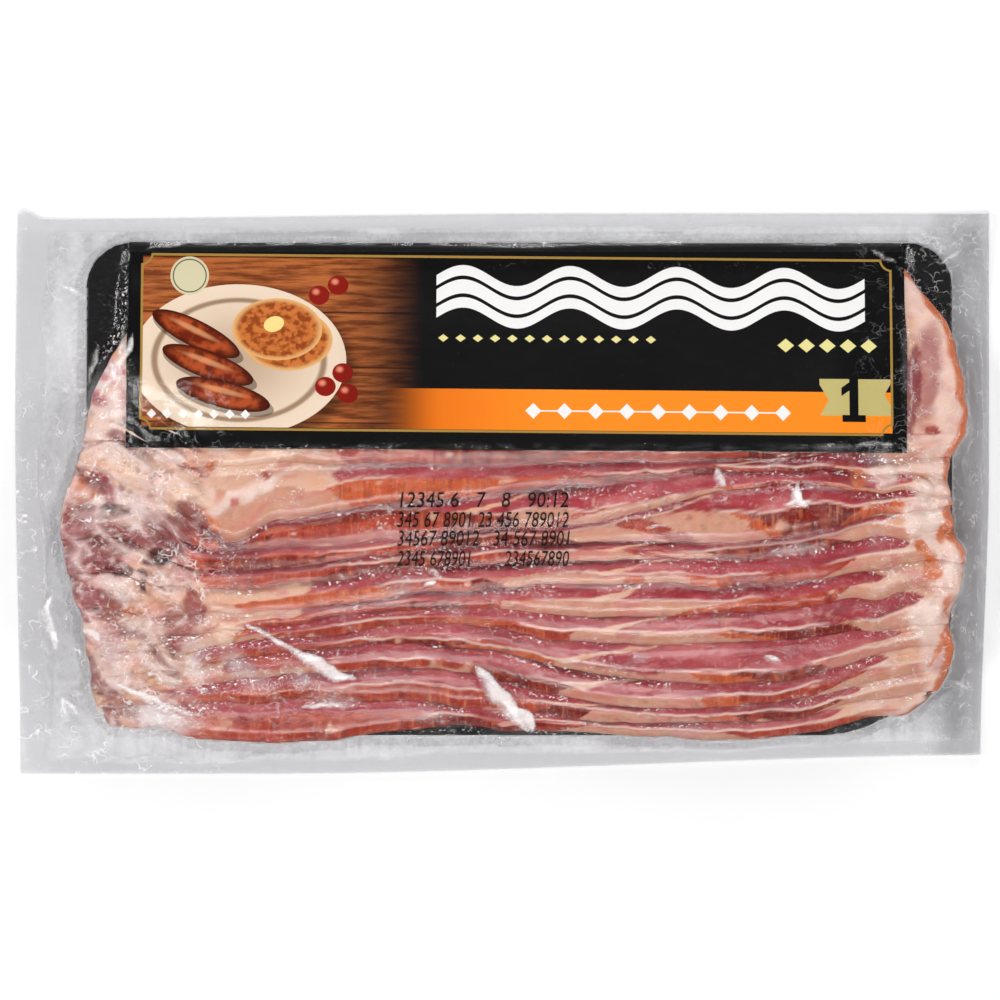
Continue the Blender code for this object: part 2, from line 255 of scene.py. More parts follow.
def slice_floor(m, x, w):
    """Z of slice m's underside."""
    low = min(int(math.floor(w)), m + SPAN - 1)
    start = underside(m, low) * rise(low, x)
    end = underside(m, low + 1) * rise(low + 1, x)
    return PILE_BOTTOM + start + (end - start) * (w - low)


# ---------------------------------------------------------------- colours
def srgb(red, green, blue):
    """Linear colour of an sRGB triple from 0 to 255."""
    def linear(v):
        v /= 255.0
        return v / 12.92 if v < 0.04045 else ((v + 0.055) / 1.055) ** 2.4
    return np.array([linear(red), linear(green), linear(blue)])


FACE_LEAN = srgb(172, 62, 70)
FACE_DEEP = srgb(138, 40, 48)
FACE_PALE = srgb(204, 112, 112)
BUTT_LEAN = srgb(172, 60, 42)
BUTT_DARK = srgb(128, 34, 26)
BUTT_ORANGE = srgb(200, 94, 56)
FAT = srgb(226, 178, 152)
FAT_PALE = srgb(236, 204, 190)
FAT_PEACH = srgb(228, 166, 126)
RIND = srgb(198, 98, 44)
CHAR = srgb(30, 18, 16)
# Painted shade in the crevices where a slice runs in under its neighbour.
CREVICE_SHADE = srgb(92, 26, 28)

# Along each slice's cut lower edge, from the lowest slice up: (where a stretch starts, what it is).
BUTTS = (
    ((-140, "fat"), (-80, "lean"), (-25, "dark"), (10, "lean"), (20, "fat"), (68, "lean"), (104, "fat")),
    ((-140, "fat"), (-84, "lean"), (-30, "lean"), (12, "dark"), (24, "fat"), (57, "orange"), (69, "dark"), (96, "fat")),
    ((-140, "fat"), (-66, "fat"), (-48, "lean"), (-6, "dark"), (17, "fat"), (58, "orange"), (70, "lean"), (96, "fat")),
    ((-140, "fat"), (-76, "lean"), (-38, "dark"), (-10, "orange"), (16, "fat"), (57, "orange"), (69, "dark"), (92, "fat")),
    ((-140, "fat"), (-70, "lean"), (-18, "orange"), (0, "lean"), (20, "fat"), (65, "orange"), (74, "dark"), (101, "fat")),
    ((-140, "fat"), (-76, "lean"), (-30, "dark"), (-12, "lean"), (0, "fat"), (57, "orange"), (66, "lean"), (98, "fat")),
    ((-140, "fat"), (-76, "orange"), (-30, "lean"), (-9, "dark"), (0, "fat"), (35, "orange"), (41, "fat"), (54, "orange"), (66, "lean"), (98, "fat")),
    ((-140, "fat"), (-90, "lean"), (-52, "dark"), (-8, "lean"), (12, "fat"), (39, "lean"), (46, "fat"), (60, "dark"), (97, "fat")),
    ((-140, "fat"), (-88, "dark"), (-50, "lean"), (-18, "dark"), (17, "fat"), (40, "lean"), (50, "fat"), (72, "orange"), (77, "dark"), (102, "orange"), (112, "lean"), (120, "fat")),
    ((-140, "fat"), (-88, "dark"), (-66, "lean"), (-16, "dark"), (2, "fat"), (17, "lean"), (23, "fat"), (64, "orange"), (76, "dark"), (94, "orange"), (104, "fat")),
    ((-140, "fat"), (-47, "orange"), (0, "lean"), (28, "dark"), (60, "lean"), (80, "dark"), (100, "fat")),
    ((-140, "fat"), (-47, "lean"), (-18, "dark"), (20, "lean"), (69, "dark"), (108, "fat")),
)
BUTT_FAT = srgb(208, 152, 126)
BUTT_COLOURS = {"fat": BUTT_FAT, "lean": BUTT_LEAN, "dark": BUTT_DARK, "orange": BUTT_ORANGE}
# How much of each slice's shown height its cut edge takes: at the left, in the middle, at the right.
BUTT_STATIONS = (-45.0, 35.0, 85.0)
BUTT_SHARES = (
    (0.62, 0.42, 0.44), (0.42, 0.52, 0.46), (0.30, 0.40, 0.44), (0.30, 0.18, 0.34), (0.46, 0.40, 0.36),
    (0.42, 0.40, 0.42), (0.46, 0.34, 0.46), (0.62, 0.46, 0.52), (0.55, 0.66, 0.54), (0.76, 0.28, 0.18),
    (0.62, 0.26, 0.26), (0.45, 0.34, 0.34),
)
# On each slice's face: where the long left muscle starts, foot and head of the fat seam between it
# and the right muscle, and where that one ends.
MUSCLES = (
    (-104, 4, 30, 100), (-96, 12, 34, 106), (-80, 18, 38, 112), (-88, 14, 44, 113),
    (-78, 26, 46, 122), (-58, 26, 42, 112), (-55, 26, 48, 118), (-86, 28, 46, 112),
    (-92, 30, 64, 122), (-92, -12, 16, 120), (-48, 60, 84, 112), (-60, -30, -10, 112),
)
# Open crevices under a slice's neighbour, where the painted shade is wide and dark: the slice, from x to x, how wide.
OPEN_CREVICES = (
    (9, -80.0, -6.0, 3.6), (9, -6.0, 30.0, 1.6), (7, 72.0, 106.0, 3.2), (8, -90.0, -60.0, 2.4), (5, 56.0, 92.0, 1.8),
    (2, 10.0, 60.0, 1.2), (1, 50.0, 100.0, 1.4), (6, -20.0, 34.0, 1.6),
)
# Spots and lumps: x, y, half length, half width, turn in degrees, what it is, height; the dark pit spots are painted
# shade in hollows.
SPOTS = (
    (-98.0, 2.0, 22.0, 9.0, -28, "peach", 1.0), (-112.0, 18.0, 9.0, 12.0, 0, "cream", 1.0),
    (-101.0, 14.0, 12.0, 5.0, -20, "cream", 0.8), (-70.0, 10.0, 20.0, 3.0, 12, "peach", 0.6),
    (-74.0, 0.0, 16.0, 3.2, 28, "cream", 0.8), (-120.0, 10.0, 4.0, 8.0, -30, "peach", 0.5),
    (-122.0, -13.5, 6.6, 13.0, -8, "plum", 1.4), (-125.5, -10.0, 2.4, 9.0, -8, "red", 0.0),
    (-119.5, -23.5, 6.0, 3.0, 30, "red", 0.6), (-112.5, -13.0, 9.5, 6.0, 0, "clay", 1.0),
    (-97.5, -11.5, 9.0, 7.5, -20, "plum", 0.0), (-112.0, -5.0, 5.6, 3.0, 8, "pit_shade", -1.3),
    (-110.5, -21.5, 5.2, 2.4, -5, "pit_shade", -1.3), (-99.5, -18.6, 5.0, 2.6, 10, "pit_shade", -1.3),
    (-103.8, -25.0, 1.4, 4.6, 20, "pit_shade", -0.6), (-122.6, 2.6, 4.4, 6.2, 30, "rind", 1.6),
    (-87.5, -8.0, 9.5, 3.6, -44, "brown", 1.0), (-84.0, -7.0, 5.0, 1.5, -50, "rind", 0.0),
    (-110.0, -27.5, 6.0, 4.4, 0, "cream", 1.8), (-98.5, -25.5, 4.4, 5.0, 10, "cream", 1.8),
    (-121.0, -31.0, 4.4, 7.0, 12, "pink", 1.2), (-122.0, -33.5, 1.6, 4.6, 35, "red", 0.0),
    (-107.0, -33.6, 8.0, 1.2, -10, "rind", -0.6), (-92.0, -23.0, 4.0, 6.0, 20, "pink", 0.4),
    (-88.8, -32.5, 3.2, 5.6, 12, "red", 0.6), (-93.0, -41.5, 3.0, 6.0, -38, "salmon", 0.4),
    (-112.5, -43.0, 6.0, 9.0, 0, "pink", 1.2), (-104.0, -41.0, 5.0, 7.0, 10, "cream", 1.2),
    (-112.0, -55.0, 7.0, 4.0, 30, "cream", 0.8), (-97.5, -50.5, 4.6, 8.0, 35, "cream", 1.6),
    (-92.2, -56.0, 1.0, 4.2, -8, "rind", -0.6), (-79.5, -40.6, 5.6, 3.6, 14, "peach", 1.2),
    (-75.0, -40.4, 1.2, 4.4, -40, "rind", 0.0), (-66.5, -48.4, 8.4, 2.6, -6, "salmon", 0.4),
    (-63.5, -58.2, 16.0, 1.9, 7, "rust", 0.3), (-74.5, -65.4, 5.5, 1.2, 0, "red", 0.0),
    (-113.2, -65.2, 2.9, 5.4, 28, "plum", 0.9), (-99.0, -66.0, 12.0, 4.4, -8, "pale", 0.8),
    (-72.0, -69.6, 9.0, 2.0, -8, "salmon", 0.3), (-67.5, 5.6, 1.8, 1.2, 10, "rust", 0.0),
    (-88.6, 7.2, 6.4, 0.9, -26, "red", 0.0), (-84.4, 8.2, 1.6, 2.0, 0, "rind", 0.0),
    (-76.3, -3.0, 1.4, 1.6, 0, "salmon", 0.0), (-98.0, 14.2, 3.4, 1.0, -25, "pink", 0.0),
    (122.6, 34.0, 5.4, 20.0, -6, "mauve", 0.0), (118.6, 30.0, 2.6, 16.0, -3, "plum", 0.0),
    (124.6, 18.4, 2.4, 1.7, 0, "red", 0.0), (102.4, 4.6, 2.6, 2.4, 10, "rind", 0.0),
    (110.0, 5.4, 6.6, 3.8, 0, "cream", 1.4), (121.0, 1.6, 4.4, 3.8, 0, "cream", 1.4),
    (115.4, -3.4, 2.6, 2.6, 60, "rind", 0.0), (121.0, -7.0, 6.0, 8.0, 20, "cream", 1.2),
    (127.0, -11.5, 1.6, 3.4, 10, "rind", 0.0), (124.0, -21.5, 2.6, 4.4, 20, "rind", 0.0),
    (130.0, -23.0, 4.0, 9.0, 5, "cream", 1.4), (121.5, -15.4, 2.0, 4.4, 30, "rind", 0.0),
    (126.0, -45.0, 1.0, 6.0, -20, "rind", 0.0), (122.0, -36.0, 6.0, 7.0, 0, "cream", 0.8),
    (130.4, -44.0, 1.8, 7.0, -4, "rind", 0.6),
)
SPOT_WHITE = srgb(242, 222, 216)
SPOT_COLOURS = {
    "cream": srgb(242, 218, 206), "peach": srgb(240, 202, 176), "pale": srgb(236, 204, 200),
    "pink": srgb(196, 138, 134), "salmon": srgb(188, 82, 70), "red": srgb(152, 52, 48),
    "rust": srgb(166, 58, 28), "brown": srgb(140, 50, 36), "clay": srgb(134, 72, 62),
    "plum": srgb(138, 62, 66), "mauve": srgb(166, 102, 98), "rind": srgb(208, 108, 50),
    # Painted shade for the dark pits among the spots.
    "pit_shade": srgb(66, 26, 30),
}


def blend_in(colour, other, share):
    """Mix another colour into an array of colours."""
    return colour + (other - colour) * np.clip(share, 0.0, 1.0)[..., None]


def paint_face(m, x, u, colour):
    """Two long muscles with a slanting fat seam between; returns the colours and how lean each point is."""
    start, foot, head, end = MUSCLES[m]
    tone = rough_noise(x / 16.0, u * 1.3, m + 40.0)
    muscle = blend_in(np.broadcast_to(FACE_LEAN, colour.shape), FACE_PALE, 0.7 * smooth(1.5 * tone))
    muscle = blend_in(muscle, FACE_DEEP, 0.7 * smooth(-1.5 * tone))
    waver = 3.0 * noise(x / 6.0, u * 2.0, m + 21.0)
    seam = np.abs(x + waver - foot - (head - foot) * np.clip(u, 0.0, 1.0))
    seam = smooth((1.6 + 5.0 * np.clip(0.6 - u, 0.0, 1.0) - seam) / 1.0 + 0.5)
    blunt = smooth((x - start - 3.5 * noise(u * 2.2, m * 1.7)) / 1.6 + 0.5)
    half = 0.62 * np.sqrt(np.clip((end - x + 3.0 * noise(x / 5.0, u, m + 3.0)) / 16.0, 0.0, 1.0))
    pointed = np.where(x > end - 16.0, smooth((half - np.abs(u - 0.62)) / 0.1 + 0.5), 1.0)
    lean = (1.0 - seam) * blunt * pointed
    veins = smooth(1.0 - np.abs(noise(x / 15.0, u * 1.5 + x / 40.0, m + 2.0)) * 26.0)
    veins = veins * smooth(noise(x / 22.0, u, m + 5.0) * 2.0)
    rim = smooth((0.16 + 0.1 * noise(x / 8.0, m * 2.0) - u) / 0.06) * smooth((foot + 4.0 - x) / 6.0)
    muscle = blend_in(muscle, BUTT_ORANGE, 0.7 * rim)
    return blend_in(colour, muscle, lean * (1.0 - 0.6 * veins)), lean


def paint_butt(m, x, d, height, colour):
    """The cut lower edge: stretches of lean, dark lean, orange and fat, with a thin line of fat above."""
    starts = [start for start, _ in BUTTS[m]]
    slant = 10.0 * noise(x / 24.0, m * 2.6)
    wave = x + slant * (d / height - 0.5) * 2.0 + 2.0 * rough_noise(x / 5.0, d / 2.0, m + 60.0)
    index = np.clip(np.searchsorted(starts, wave) - 1, 0, len(starts) - 1)
    stretch = np.array([BUTT_COLOURS[kind] for _, kind in BUTTS[m]])[index]
    lean = np.array([kind != "fat" for _, kind in BUTTS[m]], float)[index]
    ribs = noise(x / 1.1, d / 9.0, m + 70.0) + 0.8 * noise(x / 3.1, d / 5.0, m + 80.0)
    stretch = blend_in(stretch, BUTT_ORANGE, (0.2 + 0.2 * lean) * smooth(ribs))
    stretch = stretch * (1.0 - (0.06 + 0.14 * lean) * smooth(-ribs))[..., None]
    stretch = blend_in(stretch, FACE_PALE, (1.0 - lean) * 0.5 * smooth(2.4 * rough_noise(x / 6.0, d / 2.0, m + 95.0)))
    islands = smooth(5.0 * noise(x / 5.0, d / 3.0, m + 90.0) - 3.6)
    stretch = blend_in(stretch, FAT, 0.8 * lean * islands)
    top = height * (1.0 + 0.3 * noise(x / 13.0, m * 2.9)) + 0.5 * noise(x / 6.0, m * 2.3) + 0.2 * noise(x / 1.8, m * 1.3)
    share = smooth((top - d) / 0.4 + 0.5) * smooth((x + 84.0 + 6.0 * noise(x / 5.0, m * 2.0)) / 5.0)
    line = hill(d, top + 0.45, 0.7) * smooth(noise(x / 14.0, m * 1.9) * 2.0 + 0.9)
    colour = blend_in(colour, FAT_PALE, 0.8 * line * smooth((x + 60.0) / 20.0))
    return blend_in(colour, stretch, share), share, share * lean


def paint_crevice_shade(m, x, d, reach, colour):
    """Painted shade where a slice runs in under its neighbour, wide and dark where they stand apart."""
    deep = smooth(0.5 + 1.2 * noise(x / 16.0, m * 3.0))
    width = 0.45 + 0.4 * noise(x / 3.0, 0.0, m + 31.0) + 0.5 * deep
    for number, start, end, extra in OPEN_CREVICES:
        if number == m:
            open_here = hill(x, 0.5 * (start + end), 0.62 * (end - start))
            width = width + extra * open_here
            deep = np.maximum(deep, open_here)
    shade = smooth((d - reach + width) / 0.8 + 0.3)
    return blend_in(colour, CREVICE_SHADE, (0.2 + 0.6 * deep) * shade * (0.25 + 0.75 * hill(x, 4.0, 112.0)))


def paint_ends(x, y, from_left, from_right, colour):
    """Fat, smoked rind and spots at the slices' ends, with painted light and shade on the crumpled left end's folds."""
    right_fat = smooth((9.0 + 3.5 * noise(y / 5.0, 1.0) - from_right) / 3.0)
    tone = rough_noise(x / 7.0, y / 5.0, 35.0)
    colour = blend_in(colour, FAT_PALE, right_fat * (0.75 + 0.25 * smooth(tone)))
    colour = blend_in(colour, SPOT_COLOURS["pink"], 0.5 * right_fat * smooth(-1.8 * tone))
    rind = smooth((2.0 + 1.8 * noise(y / 6.0, 2.0) - from_right) / 1.0)
    colour = blend_in(colour, RIND, 0.9 * rind)
    char = smooth((2.0 - from_right) / 0.6) * smooth(3.0 * noise(y / 2.6, x / 3.0, 5.0) + 0.2)
    colour = blend_in(colour, CHAR, char * hill(y, -57.5, 7.0))
    left_fat = smooth((28.0 + 9.0 * noise(y / 9.0, 3.0) - from_left) / 6.0)
    fold = crumple_fold(x, y)
    crumpled = blend_in(np.broadcast_to(SPOT_WHITE, colour.shape), FAT_PEACH, 0.9 * smooth(0.3 + 1.4 * tone))
    crumpled = blend_in(crumpled, FACE_PALE, 0.9 * smooth(0.5 - 1.3 * fold - tone))
    # Painted shade in the deepest fold valleys.
    crumpled = blend_in(crumpled, SPOT_COLOURS["plum"], 0.7 * smooth(-1.6 * fold - 0.6))
    colour = blend_in(colour, crumpled, left_fat * smooth((x + 112.0 - 0.6 * y) / -8.0 + 2.6))
    veins = smooth(2.6 * rough_noise(x / 9.0, y / 5.0, 33.0) - 0.7) * smooth((46.0 - from_left) / 20.0)
    colour = blend_in(colour, FACE_LEAN, 0.5 * veins)
    for cx, cy, half_length, half_width, turn, kind, _ in SPOTS:
        shape = spot_shape(x, y, cx, cy, half_length, half_width, turn)
        sharp = 0.5 if kind in ("cream", "peach", "pale", "pink", "mauve") else 0.25
        mottle = 0.8 + 0.2 * noise(x / 3.0, y / 2.0, cx)
        colour = blend_in(colour, SPOT_COLOURS[kind], mottle * smooth(shape / sharp))
    crumpled = crumple_share(x, y)
    # Painted light on the fold ridges and painted shade in the fold valleys.
    colour = blend_in(colour, SPOT_COLOURS["pale"], 0.5 * crumpled * smooth(1.6 * fold - 0.5))
    colour = blend_in(colour, SPOT_COLOURS["plum"], 0.7 * crumpled * smooth(-1.6 * fold))
    fine = rough_noise((x + 0.5 * y) / 2.6, (y - 0.4 * x) / 1.8, 36.0)
    colour = blend_in(colour, SPOT_WHITE, 0.75 * crumpled * smooth(2.2 * fine - 0.35))
    colour = blend_in(colour, SPOT_COLOURS["clay"], 0.6 * crumpled * smooth(-2.2 * fine - 0.45))
    lines = smooth(1.0 - 9.0 * np.abs(noise((x + 0.8 * y) / 6.0, (y - 0.6 * x) / 3.0, 37.0)))
    return blend_in(colour, SPOT_COLOURS["brown"], 0.6 * crumpled * lines * smooth(2.0 * noise(x / 5.0, y / 5.0, 38.0)))


# ---------------------------------------------------------------- meshes
def grid_quads(rows, columns, start=0, flip=False):
    """Corner numbers of the quads of a grid of points, row after row."""
    index = start + np.arange(rows * columns).reshape(rows, columns)
    quads = np.stack((index[:-1, :-1], index[:-1, 1:], index[1:, 1:], index[1:, :-1]), -1).reshape(-1, 4)
    return quads[:, ::-1] if flip else quads


def rim_quads(rows, columns, start):
    """Quads that join the border of one grid to the border of the same grid `start` points on."""
    index = np.arange(rows * columns).reshape(rows, columns)
    border = np.concatenate((index[0, :-1], index[:-1, -1], index[-1, :0:-1], index[:0:-1, 0]))
    ahead = np.roll(border, -1)
    return np.stack((border, border + start, ahead + start, ahead), -1)


def new_piece(name, points, quads, material, colours=None, masks=None):
    """A smooth mesh object from arrays in millimetres, with its colours and masks as attributes."""
    mesh = bpy.data.meshes.new(name)
    mesh.vertices.add(len(points))
    mesh.vertices.foreach_set("co", (points * MM).astype(np.float32).ravel())
    mesh.loops.add(quads.size)
    mesh.loops.foreach_set("vertex_index", quads.astype(np.int32).ravel())
    mesh.polygons.add(len(quads))
    mesh.polygons.foreach_set("loop_start", np.arange(0, quads.size, 4, dtype=np.int32))
    mesh.update(calc_edges=True)
    mesh.shade_smooth()
    if colours is not None:
        layer = mesh.attributes.new("tint", "FLOAT_COLOR", "POINT")
        rgba = np.concatenate((colours, np.ones((len(colours), 1))), 1)
        layer.data.foreach_set("color", rgba.astype(np.float32).ravel())
    for key, values in (masks or {}).items():
        layer = mesh.attributes.new(key, "FLOAT", "POINT")
        layer.data.foreach_set("value", np.asarray(values, np.float32).ravel())
    mesh.materials.append(material)
    obj = bpy.data.objects.new(name, mesh)
    bpy.context.scene.collection.objects.link(obj)
    return obj


def slice_steps(m):
    """Steps of the shingle at which a slice has points: close together where it shows."""
    shown = np.arange(0.0, 1.26, 0.05)
    if m == SLICE_COUNT - 1:
        return np.concatenate((shown, np.arange(1.4, SPAN + 0.01, 0.1)))
    return np.concatenate((shown, [1.6, 2.0, 3.0, 4.0, 5.0, 6.0]))


def slice_plan(m, columns):
    """X and Y of slice m's points, and how far each is from the slice's two ends."""
    share = np.linspace(0.0, 1.0, columns)
    plan_x, plan_y, from_left, from_right = [], [], [], []
    for step in slice_steps(m):
        w = min(m + step, SLICE_COUNT + SPAN - 1.0)
        left = np.interp(-10.0, *LEFT_OUTLINE)
        right = np.interp(-10.0, *RIGHT_OUTLINE)
        x = left + (right - left) * share
        for _ in range(4):
            y = shingle_y(x, w)
            left = np.interp(y, *LEFT_OUTLINE) + 0.9 * noise(y / 5.0, m * 1.1)
            right = np.interp(y, *RIGHT_OUTLINE) + 0.6 * noise(y / 4.0, m * 1.7)
            x = left + (right - left) * share
        y = shingle_y(x, w)
        plan_x.append(x)
        plan_y.append(y)
        from_left.append(x - left)
        from_right.append(right - x)
    return tuple(np.array(rows) for rows in (plan_x, plan_y, from_left, from_right))


def slice_relief(m, x, d, ribbed, butt, lean):
    """Fine relief of a slice's top: ribs on the cut edge, muscles a little proud of the fat."""
    ribs = 0.05 * noise(x / 1.3, d / 8.0, m + 70.0) + 0.1 * noise(x / 3.2, d / 4.0, m + 71.0)
    grain = 0.12 * rough_noise(x / 5.0, d / 2.2, m + 11.0)
    return ribbed * ribs + (1.0 - butt) * (0.22 * (lean - 0.5) + grain)


def make_slice(m, material):
    """One slice: a fine grid for its top and one for its underside, joined round the rim."""
    columns = 330
    steps = slice_steps(m)
    x, y, from_left, from_right = slice_plan(m, columns)
    u = np.broadcast_to(steps[:, None], x.shape)
    lower = np.array([slice_floor(m, x[i], min(m + step, m + SPAN)) for i, step in enumerate(steps)])
    edge = edge_line(m, x)
    reach = edge_line(m + 1, x) - edge
    d = y - edge
    width = np.minimum(BUTT, 0.6 * reach)
    round_edge = np.sin(0.5 * math.pi * np.clip(d / width, 0.0, 1.0)) ** 0.8
    round_ends = np.sqrt(np.clip(np.minimum(from_left, from_right) / 2.6, 0.0, 1.0))
    taper = np.clip(SPAN - u, 0.0, 1.0)
    depth = RIM + (SLICE - RIM) * round_edge * round_ends * taper
    depth = depth * np.array([at_shingle(x[i], min(m + step, SLICE_COUNT + SPAN - 1.0), rise)
                              for i, step in enumerate(steps)])

    colour = np.broadcast_to(FAT, x.shape + (3,)).copy()
    tone = rough_noise(x / 9.0, y / 4.0, 15.0)
    colour = blend_in(colour, FAT_PALE, smooth(1.4 * tone))
    colour = blend_in(colour, FAT_PEACH, 0.7 * smooth(-1.4 * tone))
    colour = blend_in(colour, FACE_PALE, 0.55 * smooth(2.2 * rough_noise(x / 7.0, y / 3.0, 16.0) - 0.3))
    cut = np.interp(x, BUTT_STATIONS, BUTT_SHARES[m])
    colour, lean = paint_face(m, x, (d / reach - cut) / (1.0 - cut), colour)
    colour, butt, ribbed = paint_butt(m, x, d, cut * reach, colour)
    if m < SLICE_COUNT - 1:
        colour = paint_crevice_shade(m, x, d, reach, colour)
    colour = paint_ends(x, y, from_left, from_right, colour)

    top = lower + depth + slice_relief(m, x, d, ribbed, butt, lean) * taper * round_ends
    points = np.concatenate((
        np.stack((x, y, top + swell(x, y, top)), -1).reshape(-1, 3),
        np.stack((x, y, lower + swell(x, y, top)), -1).reshape(-1, 3),
    ))
    count = x.size
    quads = np.concatenate((
        grid_quads(*x.shape), grid_quads(*x.shape, start=count, flip=True), rim_quads(*x.shape, count),
    ))
    colours = np.concatenate((colour.reshape(-1, 3),) * 2)
    masks = {"butt": np.concatenate((ribbed.ravel(),) * 2), "lean": np.concatenate((lean.ravel(),) * 2)}
    obj = new_piece(f"slice_{m + 1:02d}", points, quads, material, colours, masks)
    return obj, points[:count].reshape(x.shape + (3,))


# ---------------------------------------------------------------- card
def corner_inset(y):
    """How far the lower leaf's sides draw in at height y, for its rounded corners."""
    low = np.clip(BOARD_LOW[1] + LOWER_CORNER - y, 0.0, LOWER_CORNER)
    high = np.clip(y - BOARD_HIGH[1] + BOARD_CORNER, 0.0, BOARD_CORNER)
    inset = LOWER_CORNER - np.sqrt(LOWER_CORNER ** 2 - low ** 2)
    return inset + BOARD_CORNER - np.sqrt(BOARD_CORNER ** 2 - high ** 2)


def flap_height(x, y):
    """Z of the flap's middle over the top slice, for columns x and rows of y."""
    top = SLICE_COUNT - 1
    steps = range(top, top + SPAN + 1)
    edges = np.array([edge_line(step, x) for step in steps])
    stack = [underside(top, step) + (SLICE if step == top else slice_depth(step - top)) for step in steps]
    heights = np.array([PILE_BOTTOM + h * rise(step, x) for h, step in zip(stack, steps)])
    z = np.stack([np.interp(y[:, i], edges[:, i], heights[:, i]) for i in range(len(x))], 1)
    return z + swell(x[None, :], y, z) + GAP + CARD / 2.0


def make_card(print_material, plain_material):
    """Lower leaf, fold at the top edge and flap, as one bent card with a printed outer side."""
    columns, turn_rows, flap_rows = 300, 12, 90
    share = np.linspace(0.0, 1.0, columns)
    bend = 1.0 - np.cos(np.linspace(0.0, 0.5 * math.pi, 10))
    low, high = BOARD_LOW[1] + 0.02, BOARD_HIGH[1] - 0.02
    straight = np.linspace(low + LOWER_CORNER, high - BOARD_CORNER, 16)[1:-1]
    leaf_y = np.concatenate((low + LOWER_CORNER * bend, straight, (high - BOARD_CORNER * bend)[::-1]))
    inset = corner_inset(leaf_y)[:, None]
    left, right = BOARD_LOW[0] + inset, BOARD_HIGH[0] - inset
    leaf_x = left + (right - left) * share
    leaf_z = CARD_BOTTOM + CARD / 2.0 + 0.25 * hill(noise(leaf_x / 16.0, leaf_y[:, None] / 16.0), 0.6, 0.7)
    leaf = np.stack((leaf_x, np.broadcast_to(leaf_y[:, None], leaf_x.shape), leaf_z), -1)

    fold_y = BOARD_HIGH[1] - FOLD_DEPTH - CARD / 2.0
    fall = np.linspace(0.0, 1.0, flap_rows)[:, None]
    flap_edge = FLAP_EDGE_LEFT + (FLAP_EDGE_RIGHT - FLAP_EDGE_LEFT) * share
    flap_y = fold_y + (flap_edge - fold_y) * fall
    sides = 0.5 * noise(flap_y / 14.0, 7.0) * (1.0 - 2.0 * share)
    flap_x = FLAP_LEFT + (FLAP_RIGHT - FLAP_LEFT) * share + sides
    flap_z = flap_height(flap_x[0], flap_y)
    for _ in range(8):
        flap_z[1:-1] = 0.25 * (flap_z[:-2] + 2.0 * flap_z[1:-1] + flap_z[2:])
    flap = np.stack((flap_x, flap_y, flap_z), -1)

    turn = np.linspace(0.0, math.pi, turn_rows + 2)[1:-1, None]
    foot_z, head_z = CARD_BOTTOM + CARD / 2.0, flap_z[0]
    dent = 1.2 * hill(flap_x[0], 4.0, 26.0) + 0.4 * noise(flap_x[0] / 18.0, 2.0)
    fold = np.stack((
        np.broadcast_to(flap_x[0], (turn_rows, columns)),
        fold_y + (FOLD_DEPTH - dent) * np.sin(turn),
        foot_z + (head_z - foot_z) * 0.5 * (1.0 - np.cos(turn)),
    ), -1)

    sheet = np.concatenate((leaf, fold, flap))
    across = np.gradient(sheet, axis=1)
    along = np.gradient(sheet, axis=0)
    normal = np.cross(across, along)
    normal /= np.linalg.norm(normal, axis=-1, keepdims=True)
    outer = sheet - normal * CARD / 2.0
    inner = sheet + normal * CARD / 2.0
    rows = len(sheet)
    points = np.concatenate((outer.reshape(-1, 3), inner.reshape(-1, 3)))
    outer_quads = grid_quads(rows, columns, flip=True)
    inner_quads = grid_quads(rows, columns, start=rows * columns)
    rim = rim_quads(rows, columns, rows * columns)[:, ::-1]
    obj = new_piece("card", points, np.concatenate((outer_quads, inner_quads, rim)), print_material)
    obj.data.materials.append(plain_material)
    printed = np.ones(len(outer_quads) + len(inner_quads) + len(rim), np.int32)
    printed[(len(leaf) + turn_rows) * (columns - 1):len(outer_quads)] = 0
    obj.data.polygons.foreach_set("material_index", printed)
    return obj, sheet + np.array((0.0, 0.0, CARD / 2.0))


# ---------------------------------------------------------------- film
FILM_COLUMNS = 406
FILM_ROWS = 236
FILM_LIFT = 0.24
DRAPE_ROUNDS = 14
TENT_ROUNDS = 500
